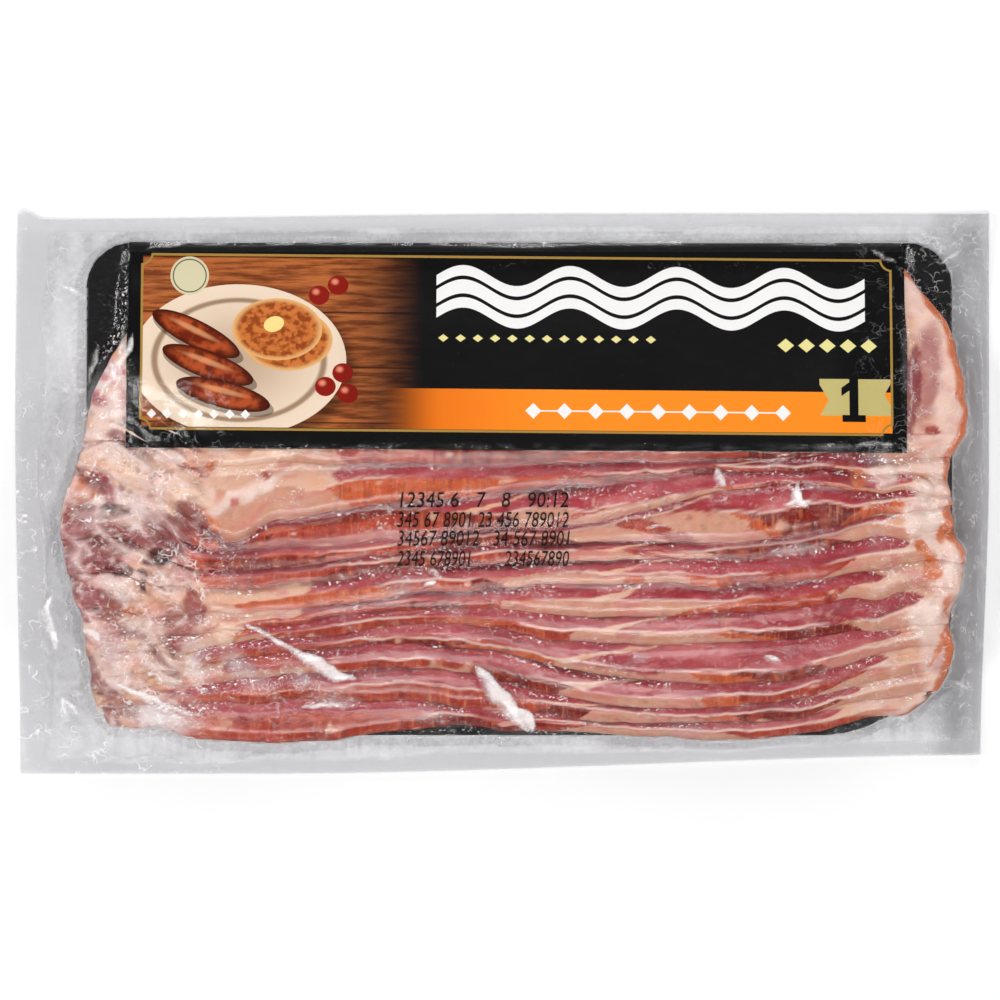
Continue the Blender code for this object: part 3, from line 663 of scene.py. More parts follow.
# Creases in the film: from x, y to x, y, half width, height, how bright their painted highlight is.
CREASES = (
    (-77.5, -35.0, -46.0, -52.5, 1.7, 0.7, 1.0), (-60.0, -44.0, -42.0, -56.5, 4.2, 0.9, 0.95),
    (-60.5, -60.8, -38.5, -61.6, 1.7, 0.7, 1.0), (-9.5, -50.0, 9.0, -70.0, 4.6, 0.9, 0.95),
    (0.5, -58.0, 9.2, -70.0, 4.4, 0.4, 1.0), (83.5, 3.0, 88.0, -5.0, 3.2, 0.5, 0.95),
    (79.5, -3.0, 92.0, -1.5, 1.8, 0.4, 0.9), (61.0, 7.5, 65.5, 2.0, 3.0, 0.6, 0.9),
    (75.0, -46.5, 82.0, -48.6, 1.7, 0.5, 0.9), (-115.0, -53.5, -82.0, -66.5, 2.2, 0.9, 1.0),
    (-108.5, -57.0, -83.0, -70.5, 1.6, 0.7, 0.85), (-106.0, -61.0, -90.0, -70.0, 1.3, 0.6, 0.8),
    (-116.5, -60.5, -110.0, -62.0, 1.1, 0.5, 0.9), (-110.0, -61.5, -108.8, -67.0, 1.1, 0.5, 0.9),
    (-108.8, -66.5, -112.0, -71.0, 1.1, 0.5, 0.9), (-132.0, -29.0, -128.5, -47.0, 3.6, 0.9, 1.0),
    (-120.0, -37.6, -116.0, -43.5, 3.0, 0.6, 1.0), (-128.5, -58.5, -122.0, -65.5, 2.6, 0.8, 0.95),
    (-127.0, -57.0, -125.0, -67.0, 1.8, 0.6, 0.9), (-134.5, -42.5, -129.5, -49.0, 1.1, 0.6, 0.85),
    (-129.6, -48.0, -129.2, -61.5, 1.1, 0.6, 0.8), (-129.4, -61.0, -126.4, -67.5, 1.1, 0.6, 0.8),
    (-122.0, -76.4, -84.0, -76.8, 1.2, 0.5, 0.9), (-130.0, -68.0, -121.0, -74.0, 1.4, 0.5, 0.9),
    (-106.0, 47.0, -118.0, 26.0, 2.6, 0.9, 0.75), (-109.0, 53.0, -112.5, 20.0, 1.8, 0.7, 0.7),
    (-116.0, 44.0, -120.0, 30.0, 2.0, 0.7, 0.65), (-113.0, 40.0, -110.0, 30.0, 2.2, 0.5, 0.8),
    (-97.5, -3.0, -77.5, -17.0, 1.0, 0.4, 0.85), (-99.0, -7.5, -84.0, -18.0, 0.9, 0.4, 0.75),
    (-93.0, 0.0, -77.0, -11.0, 0.9, 0.4, 0.7), (-106.0, -6.5, -94.0, -8.0, 0.9, 0.3, 0.7),
    (-103.0, -13.0, -96.0, -4.0, 0.9, 0.3, 0.6), (-97.0, -12.5, -88.0, -22.0, 1.6, 0.6, 0.7),
    (100.0, 14.3, 116.0, 14.0, 1.9, 0.4, 0.6), (117.8, 14.0, 118.6, 62.0, 1.1, 0.4, 0.7),
    (8.0, -27.0, 20.0, -29.5, 0.9, 0.3, 0.7), (40.0, -10.5, 50.0, -8.0, 1.4, 0.3, 0.7),
    (-23.0, -26.5, -18.0, -25.0, 1.7, 0.5, 0.95), (-22.0, -21.0, -17.5, -26.0, 2.2, 0.4, 0.7),
    (72.0, 8.0, 89.0, 12.5, 0.9, 0.3, 0.8), (104.0, -9.0, 118.0, -5.0, 1.4, 0.3, 0.7),
    (126.0, 66.0, 136.0, 73.0, 1.4, 0.5, 0.8), (135.0, 60.0, 136.0, -20.0, 1.0, 0.4, 0.7),
    (129.0, -53.0, 138.0, -58.0, 1.5, 0.5, 0.9), (132.0, -60.0, 134.0, -50.0, 1.2, 0.4, 0.8),
    (-105.0, 71.0, -84.0, 73.8, 1.2, 0.5, 0.8), (30.0, 75.0, 56.0, 75.5, 1.0, 0.4, 0.8),
    (-60.0, 75.0, -42.0, 74.4, 1.0, 0.4, 0.8), (-130.0, 62.0, -118.0, 56.0, 1.5, 0.5, 0.8),
    (-126.0, 48.0, -121.0, 20.0, 1.5, 0.5, 0.7), (-134.0, 18.0, -126.0, 2.0, 1.3, 0.5, 0.7),
    (106.0, 71.5, 116.0, 66.0, 1.4, 0.4, 0.6), (-48.0, -22.0, -44.0, -25.5, 1.1, 0.3, 0.8),
)
# Soft patches where the film is dull, whitened partly as a painted sheen: x, y, half length, half width, turn in
# degrees, how white.
HAZES = (
    (-99.0, -65.0, 16.0, 7.0, -14, 0.92), (-89.0, -50.0, 7.0, 9.0, -30, 1.0), (-74.0, -51.0, 16.0, 7.0, -30, 0.7),
    (-56.0, -54.0, 15.0, 5.0, -30, 0.75), (-50.0, -60.0, 12.0, 3.4, 0, 0.7), (-112.0, -46.0, 9.0, 13.0, 10, 0.6),
    (-106.0, -33.0, 12.0, 8.0, 0, 0.3), (-38.0, 8.0, 20.0, 3.6, 0, 0.5), (-50.0, 6.0, 10.0, 5.0, 0, 0.3),
    (-78.0, -26.0, 14.0, 6.0, 5, 0.32), (-30.0, -27.0, 16.0, 6.0, 20, 0.4), (-14.0, -34.0, 10.0, 8.0, -50, 0.4),
    (-46.0, -34.0, 14.0, 3.0, 0, 0.35), (-20.0, -64.0, 16.0, 5.0, -10, 0.35), (-32.0, -52.0, 12.0, 5.0, 0, 0.3),
    (56.0, -68.0, 22.0, 4.0, 0, 0.4), (12.0, -30.0, 12.0, 3.0, -25, 0.45), (38.0, -30.5, 14.0, 2.0, 5, 0.3),
    (112.0, -26.0, 10.0, 4.0, 20, 0.55), (108.0, -12.0, 8.0, 4.0, 10, 0.4), (118.0, -38.0, 9.0, 10.0, 0, 0.3),
    (84.0, -16.0, 14.0, 2.4, 4, 0.5), (108.0, 10.0, 10.0, 3.4, 0, 0.55), (96.0, 13.6, 18.0, 1.6, 0, 0.4),
    (-109.0, 30.0, 6.0, 14.0, 0, 0.35), (116.5, 40.0, 2.0, 24.0, 0, 0.3), (38.0, -48.0, 8.0, 3.0, 20, 0.4),
    (50.0, -12.0, 16.0, 2.0, -4, 0.35), (30.0, 10.6, 40.0, 2.0, 0, 0.3), (124.0, 6.0, 4.0, 6.0, 0, 0.4),
)


def cut_outline(a, b):
    """The pouch's cut edge as a map of the square from -1 to 1: bowed left, short at lower right."""
    left = POUCH_LOW[0] + 1.7 - 1.7 * hill(b, 0.3, 1.5)
    right = POUCH_HIGH[0] - 2.6 * smooth((0.1 - b) / 1.2)
    bottom = POUCH_LOW[1] + 5.6 * smooth((a + 0.5) / 1.6)
    top = POUCH_HIGH[1] - 1.6 * smooth((0.2 - a) / 1.2) + 2.4 * hill(a, -0.985, 0.03)
    return left, right, bottom, top


def film_point(a, b):
    """X and Y of a point of the film."""
    left, right, bottom, top = cut_outline(a, b)
    return left + (right - left) * (a + 1.0) / 2.0, bottom + (top - bottom) * (b + 1.0) / 2.0


def film_cell(x, y):
    """Row and column of the film's grid, with their fractions, at x and y."""
    a, b = x / POUCH_HIGH[0], y / POUCH_HIGH[1]
    for _ in range(4):
        left, right, bottom, top = cut_outline(a, b)
        a = np.clip(2.0 * (x - left) / (right - left) - 1.0, -1.0, 1.0)
        b = np.clip(2.0 * (y - bottom) / (top - bottom) - 1.0, -1.0, 1.0)
    return (b + 1.0) / 2.0 * (FILM_ROWS - 1), (a + 1.0) / 2.0 * (FILM_COLUMNS - 1)


def margin_rise(x, y):
    """How far the free margin curls up from the table."""
    wave = np.sin(x / 23.0 + 1.0) * np.cos(y / 17.0)
    corner = smooth((np.abs(x) - 120.0) / 25.0) * smooth((np.abs(y) - 55.0) / 30.0)
    return 2.2 * (0.35 + 0.2 * wave + 0.45 * corner)


def neighbours(z):
    """Values of the four cells round each cell of a padded grid."""
    p = np.pad(z, 1, mode="edge")
    return p[:-2, 1:-1], p[2:, 1:-1], p[1:-1, :-2], p[1:-1, 2:]


def denser(points):
    """A grid of points with the middles of its edges and quads added, as one list."""
    wide = 0.5 * (points[:, :-1] + points[:, 1:])
    tall = 0.5 * (points[:-1] + points[1:])
    inner = 0.5 * (wide[:-1] + wide[1:])
    return np.concatenate([part.reshape(-1, 3) for part in (points, wide, tall, inner)])


def contents_heights(clouds, x, y):
    """Highest point of what lies in the pouch, in each cell of the film's grid; 0 where nothing does."""
    inset = corner_inset(y)
    on_leaf = (x > BOARD_LOW[0] + inset) & (x < BOARD_HIGH[0] - inset) & (y > BOARD_LOW[1]) & (y < BOARD_HIGH[1])
    ground = np.where(on_leaf, CARD_BOTTOM + CARD, 0.0)
    for points in map(denser, clouds):
        row, column = film_cell(points[:, 0], points[:, 1])
        cell = np.round(row).astype(int), np.round(column).astype(int)
        np.maximum.at(ground, cell, points[:, 2])
    for _ in range(3):
        around = np.array(neighbours(ground))
        filled = around > 0.0
        mean = np.sum(around, axis=0) / np.maximum(np.sum(filled, axis=0), 1)
        missed = (ground < mean - 1.2) & (np.sum(filled, axis=0) >= 3)
        ground = np.where(missed, mean, ground)
    return ground


def crease_shape(x, y, x0, y0, x1, y1, half_width):
    """A fold with a painted highlight: it widens from its start, is crisp on one side and fades away on the other."""
    length = math.hypot(x1 - x0, y1 - y0)
    along = ((x - x0) * (x1 - x0) + (y - y0) * (y1 - y0)) / length
    across = ((x - x0) * (y1 - y0) - (y - y0) * (x1 - x0)) / length
    across = across + 0.5 * half_width * noise(along / 5.0, x0) + 0.3 * noise(along / 2.0, x0)
    t = np.clip(along / length, 0.0, 1.0)
    swollen = 2.3 * half_width * t ** 0.8 * (1.0 - t) + 1e-6
    crisp = np.clip((across + swollen) / 1.1, 0.0, 1.0)
    fading = np.clip(1.0 - across / (1.4 * swollen), 0.0, 1.0)
    return crisp * np.minimum(fading, 1.0) * smooth(swollen / 0.5)


def patch(x, y, cx, cy, half_length, half_width, turn):
    """A soft spot with a ragged edge."""
    c, s = math.cos(math.radians(turn)), math.sin(math.radians(turn))
    a = ((x - cx) * c + (y - cy) * s) / half_length
    b = ((y - cy) * c - (x - cx) * s) / half_width
    ragged = 0.35 * rough_noise(x / 6.0, y / 4.0, cx)
    return smooth(1.0 + ragged - np.hypot(a, b))


def drape(ground, x, y, flange):
    """Film over the contents: it bridges the crevices and slopes down to the margin at the sides."""
    rim = 0.3 + margin_rise(x, y)
    z = np.where(flange > 0.5, rim, np.maximum(ground, 0.4))
    full = ground > 0.9
    for round_number in range(TENT_ROUNDS):
        relaxed = np.mean(neighbours(z), axis=0)
        relaxed = np.maximum(relaxed, ground)
        held = full & (round_number > DRAPE_ROUNDS)
        z = np.where(flange > 0.5, rim, np.where(held, z, relaxed))
    for _ in range(2):
        z = 0.5 * z + 0.5 * np.mean(neighbours(z), axis=0)
    return z


def ground_near(ground):
    """The highest contents within a few cells: what a steep part of the film leans against."""
    for _ in range(4):
        ground = np.max(neighbours(ground), axis=0)
    return ground


def make_film(clouds, material):
    """The clear front of the pouch, drawn tight over the contents, with folds and creases."""
    a, b = np.meshgrid(np.linspace(-1.0, 1.0, FILM_COLUMNS), np.linspace(-1.0, 1.0, FILM_ROWS))
    x, y = film_point(a, b)
    left, right, bottom, top = cut_outline(a, b)
    ground = contents_heights(clouds, x, y)
    seal = 1.5 * noise(x / 17.0, y / 13.0, 6.0)
    flange = np.maximum.reduce([
        smooth((8.5 + seal - (x - left)) / 1.0), smooth((3.2 + 0.4 * seal - (right - x)) / 1.0),
        smooth((4.2 + 0.5 * seal - (top - y)) / 1.0), smooth((5.0 + seal - (y - bottom)) / 1.0),
    ])
    z = drape(ground, x, y, flange)
    full = smooth((ground - 0.9) / 0.3)
    tent = (1.0 - full) * (1.0 - flange)
    side = smooth((np.abs(x) - 112.0) / 12.0)
    run = np.where(side > 0.5, y, x)
    folds = noise(run / 3.4, np.where(side > 0.5, x, y) / 22.0, 12.0) + 0.6 * noise(run / 1.5, x / 14.0, 13.0)
    z = z + tent * 0.55 * folds * smooth((z - 0.6) / 2.0)
    ripples = 0.10 * noise(x / 2.6, y / 2.0, 17.0) + 0.05 * noise(x / 1.1, y / 0.9, 18.0)
    z = z + full * np.abs(ripples) + FILM_LIFT
    # Painted highlights along the creases, kept in the white mask.
    white = np.zeros_like(z)
    for x0, y0, x1, y1, half_width, height, whiteness in CREASES:
        crease = crease_shape(x, y, x0, y0, x1, y1, half_width)
        z = z + height * smooth(crease)
        white = np.maximum(white, whiteness * crease * (0.8 + 0.2 * noise(x / 6.0, y / 6.0, x1)))
    # Dull film, partly a painted sheen.
    haze_and_sheen = np.zeros_like(z)
    for cx, cy, half_length, half_width, turn, whiteness in HAZES:
        haze_and_sheen = np.maximum(haze_and_sheen, whiteness * patch(x, y, cx, cy, half_length, half_width, turn))
    line = np.maximum(hill(x - left, 5.2, 0.5), np.maximum(hill(top - y, 4.0, 0.5), hill(right - x, 9.0, 0.4)))
    z = z + 0.15 * line * (1.0 - full)
    bridge = smooth((z - ground - FILM_LIFT - 0.12) / 0.8) * full
    on_flap = (x > FLAP_LEFT) * (x < FLAP_RIGHT) * smooth((y - 11.0) / 2.0)
    crumple = np.maximum.reduce([
        smooth((-x - 72.0) / 18.0) * smooth((40.0 - y) / 14.0), 0.9 * patch(x, y, -66.0, -55.0, 34.0, 16.0, -14),
        0.5 * smooth((x - 98.0) / 14.0), 0.6 * tent * side,
    ]) * (1.0 - 0.6 * on_flap)
    # Painted light and shade on the grey margin: darker along the right side, lighter along the bottom and in the
    # tents, streaked in the tents, and darkest at the tents' foot by the contents.
    grey = 0.68 - 0.56 * smooth((x - 122.0) / 8.0) + 0.14 * smooth((-y - 66.0) / 6.0) + 0.1 * tent
    foot = smooth((ground_near(ground) - 0.9) / 0.3) * tent
    grey = grey - tent * 0.25 * noise(run / 12.0, np.where(side > 0.5, x, y) / 4.0, 15.0) - 0.3 * foot
    points = np.stack((x, y, z), -1).reshape(-1, 3)
    masks = {"white": white, "haze_and_sheen": haze_and_sheen, "outside": 1.0 - full, "bridge": bridge, "tent": tent,
             "crumple": crumple, "grey": grey, "meat": full * smooth((14.0 - y) / 2.0 + 0.5)}
    obj = new_piece("film_front", points, grid_quads(*x.shape), material, masks=masks)
    return obj, z


def make_back_film(material):
    """The pouch's back: flat under the card, with the same cut edge."""
    columns, rows = 142, 82
    a, b = np.meshgrid(np.linspace(-1.0, 1.0, columns), np.linspace(-1.0, 1.0, rows))
    x, y = film_point(a, b)
    edge = np.maximum(np.abs(a), np.abs(b))
    z = margin_rise(x, y) * smooth((edge - 0.86) / 0.14) + 0.05
    z = z + 0.12 * np.abs(noise(x / 6.0, y / 5.0, 3.0))
    points = np.stack((x, y, z), -1).reshape(-1, 3)
    nothing = np.zeros_like(z)
    masks = {"white": nothing, "haze_and_sheen": nothing, "outside": smooth((edge - 0.8) / 0.1), "bridge": nothing,
             "tent": nothing, "crumple": nothing, "grey": nothing + 0.8, "meat": nothing}
    return new_piece("film_back", points, grid_quads(rows, columns, flip=True), material, masks=masks)


# Rows of plain figures printed on the film: text, x and y of its left end, height.
CODE_ROWS = (
    ("12345 6   7   8   90:12", -30.5, -3.9, 4.6),
    ("345 67 8901 23 456 789012", -30.5, -9.6, 4.6),
    ("34567 89012   34 567 8901", -30.5, -15.0, 4.6),
    ("2345 678901        234567890", -30.5, -20.8, 4.6),
)


def make_code(film_z, material):
    """Plain figures in ink, laid on the film."""
    pieces = []
    for number, (text, x, y, height) in enumerate(CODE_ROWS):
        curve = bpy.data.curves.new(f"figures_{number}", "FONT")
        curve.body = text
        curve.size = height * 1.38 * MM
        curve.resolution_u = 3
        holder = bpy.data.objects.new(f"figures_{number}", curve)
        bpy.context.scene.collection.objects.link(holder)
        bpy.context.view_layer.update()
        mesh = bpy.data.meshes.new_from_object(holder.evaluated_get(bpy.context.evaluated_depsgraph_get()))
        bpy.data.objects.remove(holder)
        co = np.zeros(len(mesh.vertices) * 3, np.float32)
        mesh.vertices.foreach_get("co", co)
        co = co.reshape(-1, 3) / MM
        co[:, 0] *= 49.5 / co[:, 0].max()
        co[:, 0] += x + 0.12 * co[:, 1]
        co[:, 1] += y
        row, column = film_cell(co[:, 0], co[:, 1])
        near = np.round(row).astype(int), np.round(column).astype(int)
        co[:, 2] = film_z[near] + 0.22
        mesh.vertices.foreach_set("co", (co * MM).astype(np.float32).ravel())
        mesh.materials.clear()
        mesh.materials.append(material)
        obj = bpy.data.objects.new(f"date_figures_{number + 1}", mesh)
        bpy.context.scene.collection.objects.link(obj)
        pieces.append(obj)
    return pieces


# ---------------------------------------------------------------- materials
class Graph:
    """A material whose nodes are added by short calls that return their first output."""

    def __init__(self, name):
        self.material = bpy.data.materials.new(name)
        self.material.use_nodes = True
        self.tree = self.material.node_tree
        self.tree.nodes.clear()
        self.output = self.tree.nodes.new("ShaderNodeOutputMaterial")

    def node(self, kind, inputs=(), **settings):
        """Add a node; inputs are (name or number, value or socket)."""
        node = self.tree.nodes.new("ShaderNode" + kind)
        for key, value in settings.items():
            setattr(node, key, value)
        for key, value in inputs:
            if isinstance(value, bpy.types.NodeSocket):
                self.tree.links.new(value, node.inputs[key])
            else:
                node.inputs[key].default_value = value
        return node

    def math(self, operation, a, b=0.0, clamp=False):
        return self.node("Math", ((0, a), (1, b)), operation=operation, use_clamp=clamp).outputs[0]

    def add(self, a, b):
        return self.math("ADD", a, b)

    def sub(self, a, b):
        return self.math("SUBTRACT", a, b)

    def mul(self, a, b):
        return self.math("MULTIPLY", a, b)

    def both(self, *masks):
        """Where all the masks are."""
        result = masks[0]
        for mask in masks[1:]:
            result = self.mul(result, mask)
        return result

    def either(self, *masks):
        """Where any of the masks is."""
        result = masks[0]
        for mask in masks[1:]:
            result = self.math("MAXIMUM", result, mask)
        return result

    def outside(self, mask):
        return self.sub(1.0, mask)

    def ramp(self, value, low, high):
        """0 at low and 1 at high, eased between."""
        inputs = ((0, value), (1, low), (2, high), (3, 0.0), (4, 1.0))
        return self.node("MapRange", inputs, interpolation_type="SMOOTHSTEP").outputs[0]

    def mix(self, mask, colour, other):
        """A colour with another over it where the mask is."""
        node = self.node("Mix", data_type="RGBA")
        sockets = {"Factor_Float": mask, "A_Color": colour, "B_Color": other}
        for socket in node.inputs:
            value = sockets.get(socket.identifier)
            if value is None:
                continue
            if isinstance(value, bpy.types.NodeSocket):
                self.tree.links.new(value, socket)
            elif socket.identifier == "Factor_Float":
                socket.default_value = value
            else:
                socket.default_value = (*value, 1.0)
        return next(o for o in node.outputs if o.identifier == "Result_Color")

    def attribute(self, name, output="Fac"):
        return self.node("Attribute", attribute_name=name).outputs[output]

    def noise(self, scale, detail=2.0, stretch=(1.0, 1.0, 1.0), rough=0.5):
        """Noise in the object's own millimetres; scale is features per millimetre."""
        place = self.node("TexCoord").outputs["Object"]
        size = tuple(scale * s / MM for s in stretch)
        place = self.node("Mapping", ((0, place), (3, size))).outputs[0]
        inputs = (("Vector", place), ("Scale", 1.0), ("Detail", detail), ("Roughness", rough))
        return self.node("TexNoise", inputs).outputs[0]

    def bump(self, height, distance, strength=1.0, normal=None):
        inputs = [("Height", height), ("Distance", distance * MM), ("Strength", strength)]
        if normal is not None:
            inputs.append(("Normal", normal))
        return self.node("Bump", inputs).outputs[0]

    def finish(self, shader):
        self.tree.links.new(shader, self.output.inputs["Surface"])
        return self.material


def bacon_material():
    """Moist raw meat: painted lean and fat, pale mottle that is partly a painted wet highlight, fibres along the lean,
    ribs across its cut edge.
    """
    g = Graph("raw_bacon")
    tint = g.attribute("tint", "Color")
    lean, butt = g.attribute("lean"), g.attribute("butt")
    fibres = g.noise(0.9, 4.0, (0.35, 1.0, 1.0), 0.6)
    mottle = g.noise(0.35, 4.0, (0.7, 1.0, 1.0), 0.65)
    # Pale mottle: partly the meat's own tone, partly a painted wet highlight.
    colour = g.mix(g.mul(g.ramp(mottle, 0.5, 0.72), 0.2), tint, tuple(srgb(236, 184, 174)))
    colour = g.mix(g.mul(g.ramp(mottle, 0.48, 0.3), g.add(0.12, g.mul(lean, 0.28))), colour, tuple(srgb(128, 40, 40)))
    flecks = g.ramp(g.noise(1.6, 3.0, (0.6, 1.0, 1.0), 0.7), 0.62, 0.72)
    colour = g.mix(g.mul(flecks, 0.3), colour, tuple(srgb(250, 226, 214)))
    ribs = g.noise(0.8, 3.0, (1.0, 0.12, 0.12), 0.6)
    colour = g.mix(g.both(butt, g.ramp(ribs, 0.48, 0.34), 0.25), colour, tuple(srgb(96, 30, 22)))
    colour = g.mix(g.both(butt, g.ramp(ribs, 0.54, 0.7), 0.4), colour, tuple(srgb(228, 140, 92)))
    height = g.add(g.mul(fibres, 0.5), g.add(g.mul(g.both(ribs, butt), 0.6), g.mul(mottle, 0.6)))
    normal = g.bump(height, 0.35, 0.6)
    rough = g.add(0.34, g.mul(g.noise(0.7, 3.0), 0.22))
    shader = g.node("BsdfPrincipled", (
        ("Base Color", colour), ("Roughness", g.sub(rough, g.mul(lean, 0.06))), ("Normal", normal),
        ("Specular IOR Level", 0.3), ("Subsurface Weight", 0.12), ("Subsurface Scale", 0.0012),
    ))
    return g.finish(shader.outputs[0])


class Print(Graph):
    """A graph that draws flat print on the flap, in millimetres along and up the label."""

    TILT = 0.009

    def __init__(self, name):
        super().__init__(name)
        split = self.node("SeparateXYZ", ((0, self.node("TexCoord").outputs["Object"]),))
        self.x = self.mul(split.outputs[0], 1.0 / MM)
        self.y = self.add(self.mul(split.outputs[1], 1.0 / MM), self.mul(self.x, self.TILT))

    def box(self, x0, x1, y0, y1):
        """A rectangle."""
        return self.both(
            self.math("GREATER_THAN", self.x, x0), self.math("LESS_THAN", self.x, x1),
            self.math("GREATER_THAN", self.y, y0), self.math("LESS_THAN", self.y, y1),
        )

    def turned(self, cx, cy, turn):
        """Coordinates round a centre, turned by some degrees."""
        c, s = math.cos(math.radians(turn)), math.sin(math.radians(turn))
        dx, dy = self.sub(self.x, cx), self.sub(self.y, cy)
        return (self.add(self.mul(dx, c), self.mul(dy, s)), self.sub(self.mul(dy, c), self.mul(dx, s)))

    def radius(self, cx, cy, rx, ry, turn=0.0):
        """Distance from a centre, 1 on the ellipse."""
        a, b = self.turned(cx, cy, turn)
        a, b = self.mul(a, 1.0 / rx), self.mul(b, 1.0 / ry)
        return self.math("SQRT", self.add(self.mul(a, a), self.mul(b, b)))

    def disc(self, cx, cy, rx, ry, turn=0.0):
        return self.math("LESS_THAN", self.radius(cx, cy, rx, ry, turn), 1.0)

    def diamond(self, cx, cy, rx, ry):
        a = self.math("ABSOLUTE", self.mul(self.sub(self.x, cx), 1.0 / rx))
        b = self.math("ABSOLUTE", self.mul(self.sub(self.y, cy), 1.0 / ry))
        return self.math("LESS_THAN", self.add(a, b), 1.0)

    def diamond_row(self, x0, x1, y, pitch, rx, ry):
        """A row of small diamonds."""
        place = self.math("PINGPONG", self.sub(self.x, x0), pitch / 2.0)
        a = self.mul(place, 1.0 / rx)
        b = self.math("ABSOLUTE", self.mul(self.sub(self.y, y), 1.0 / ry))
        return self.both(self.math("LESS_THAN", self.add(a, b), 1.0), self.box(x0 - rx, x1 + rx, y - ry, y + ry))

    def wave(self, cx, cy, turn, half_length, half_width, height, length):
        """A wavy strip; returns its mask and the place across it, from -1 to 1."""
        a, b = self.turned(cx, cy, turn)
        swing = self.mul(self.math("SINE", self.mul(a, 2.0 * math.pi / length)), height)
        across = self.mul(self.sub(b, swing), 1.0 / half_width)
        inside = self.both(
            self.math("LESS_THAN", self.math("ABSOLUTE", across), 1.0),
            self.math("LESS_THAN", self.math("ABSOLUTE", a), half_length),
        )
        return inside, across


BLACK_INK = tuple(srgb(17, 17, 18))
WHITE_INK = tuple(srgb(240, 239, 236))
GOLD_INK = tuple(srgb(168, 132, 64))
PALE_YELLOW_INK = tuple(srgb(232, 222, 150))
ORANGE_INK = tuple(srgb(252, 142, 36))
OLIVE_INK = tuple(srgb(196, 182, 118))


def picture(g, colour):
    """A plate with pancakes, sausages and small tomatoes on a table, fading to black on the right."""
    grain = g.noise(0.5, 5.0, (0.15, 1.4, 1.0), 0.6)
    wood = g.mix(g.ramp(grain, 0.35, 0.65), tuple(srgb(116, 56, 26)), tuple(srgb(186, 106, 56)))
    plank = g.math("LESS_THAN", g.math("PINGPONG", g.sub(g.y, 20.0), 8.0), 0.22)
    wood = g.mix(g.mul(plank, 0.8), wood, tuple(srgb(60, 28, 16)))
    plate_r = g.radius(-76.0, 38.0, 31.0, 22.0)
    scene = g.mix(g.mul(g.ramp(g.radius(-74.0, 36.0, 34.0, 25.0), 1.0, 0.85), 0.6), wood, (0.02, 0.01, 0.006))
    plate = g.mix(g.ramp(plate_r, 0.0, 1.0), tuple(srgb(196, 168, 142)), tuple(srgb(236, 214, 190)))
    plate = g.mix(g.both(g.ramp(plate_r, 0.74, 0.78), g.ramp(plate_r, 0.84, 0.8)), plate, tuple(srgb(160, 130, 104)))
    scene = g.mix(g.math("LESS_THAN", plate_r, 1.0), scene, plate)
    for cx, cy, rx, ry in ((-62.0, 44.0, 13.0, 9.0), (-65.0, 47.0, 13.0, 9.0)):
        cake_r = g.radius(cx, cy, rx, ry)
        blot = g.noise(0.5, 3.0)
        cake = g.mix(g.ramp(blot, 0.4, 0.6), tuple(srgb(150, 68, 26)), tuple(srgb(206, 118, 56)))
        cake = g.mix(g.ramp(cake_r, 0.82, 0.98), cake, tuple(srgb(228, 172, 108)))
        scene = g.mix(g.math("LESS_THAN", cake_r, 1.0), scene, cake)
    butter = g.disc(-66.0, 48.5, 3.0, 2.2, 20.0)
    scene = g.mix(butter, scene, tuple(srgb(246, 220, 140)))
    browning = g.noise(0.25, 3.0)
    for cx, cy, turn in ((-88.5, 45.5, -26.0), (-85.0, 36.5, -20.0), (-80.5, 28.0, -14.0)):
        sausage_r = g.radius(cx, cy, 14.0, 3.9, turn)
        skin = g.mix(g.ramp(browning, 0.4, 0.62), tuple(srgb(112, 36, 18)), tuple(srgb(178, 78, 38)))
        skin = g.mix(g.ramp(sausage_r, 0.6, 1.0), skin, tuple(srgb(70, 22, 10)))
        gleam = g.ramp(g.radius(cx - 0.4, cy + 1.1, 10.0, 1.2, turn), 1.0, 0.3)
        skin = g.mix(g.mul(gleam, 0.6), skin, tuple(srgb(236, 168, 116)))
        scene = g.mix(g.mul(g.disc(cx + 0.6, cy - 1.3, 14.5, 4.0, turn), 0.6), scene, (0.03, 0.012, 0.008))
        scene = g.mix(g.math("LESS_THAN", sausage_r, 1.0), scene, skin)
    for cx, cy in ((-46.0, 34.5), (-51.0, 30.5), (-44.5, 28.5), (-53.0, 57.0), (-47.5, 60.0)):
        tomato_r = g.radius(cx, cy, 3.0, 2.8)
        tomato = g.mix(g.ramp(g.radius(cx - 0.9, cy + 1.0, 1.3, 1.1), 1.2, 0.2), tuple(srgb(140, 26, 16)), tuple(srgb(232, 140, 110)))
        scene = g.mix(g.math("LESS_THAN", tomato_r, 1.0), scene, tomato)
    fade = g.ramp(g.x, -22.0, -50.0)
    return g.mix(g.both(g.box(-104.0, -20.0, 18.5, 68.2), fade), colour, scene)


def numeral(g, x, y, height):
    """A plain figure one: stem, flag and foot."""
    stem = g.box(x - 1.3, x + 1.3, y, y + height)
    slope = g.math("LESS_THAN", g.math("ABSOLUTE", g.sub(g.sub(g.y, y + height - 3.4), g.mul(g.sub(g.x, x), 0.7))), 1.2)
    flag = g.both(slope, g.box(x - 3.6, x, y + height - 7.5, y + height))
    foot = g.box(x - 3.4, x + 3.4, y, y + 2.0)
    return g.either(stem, flag, foot)


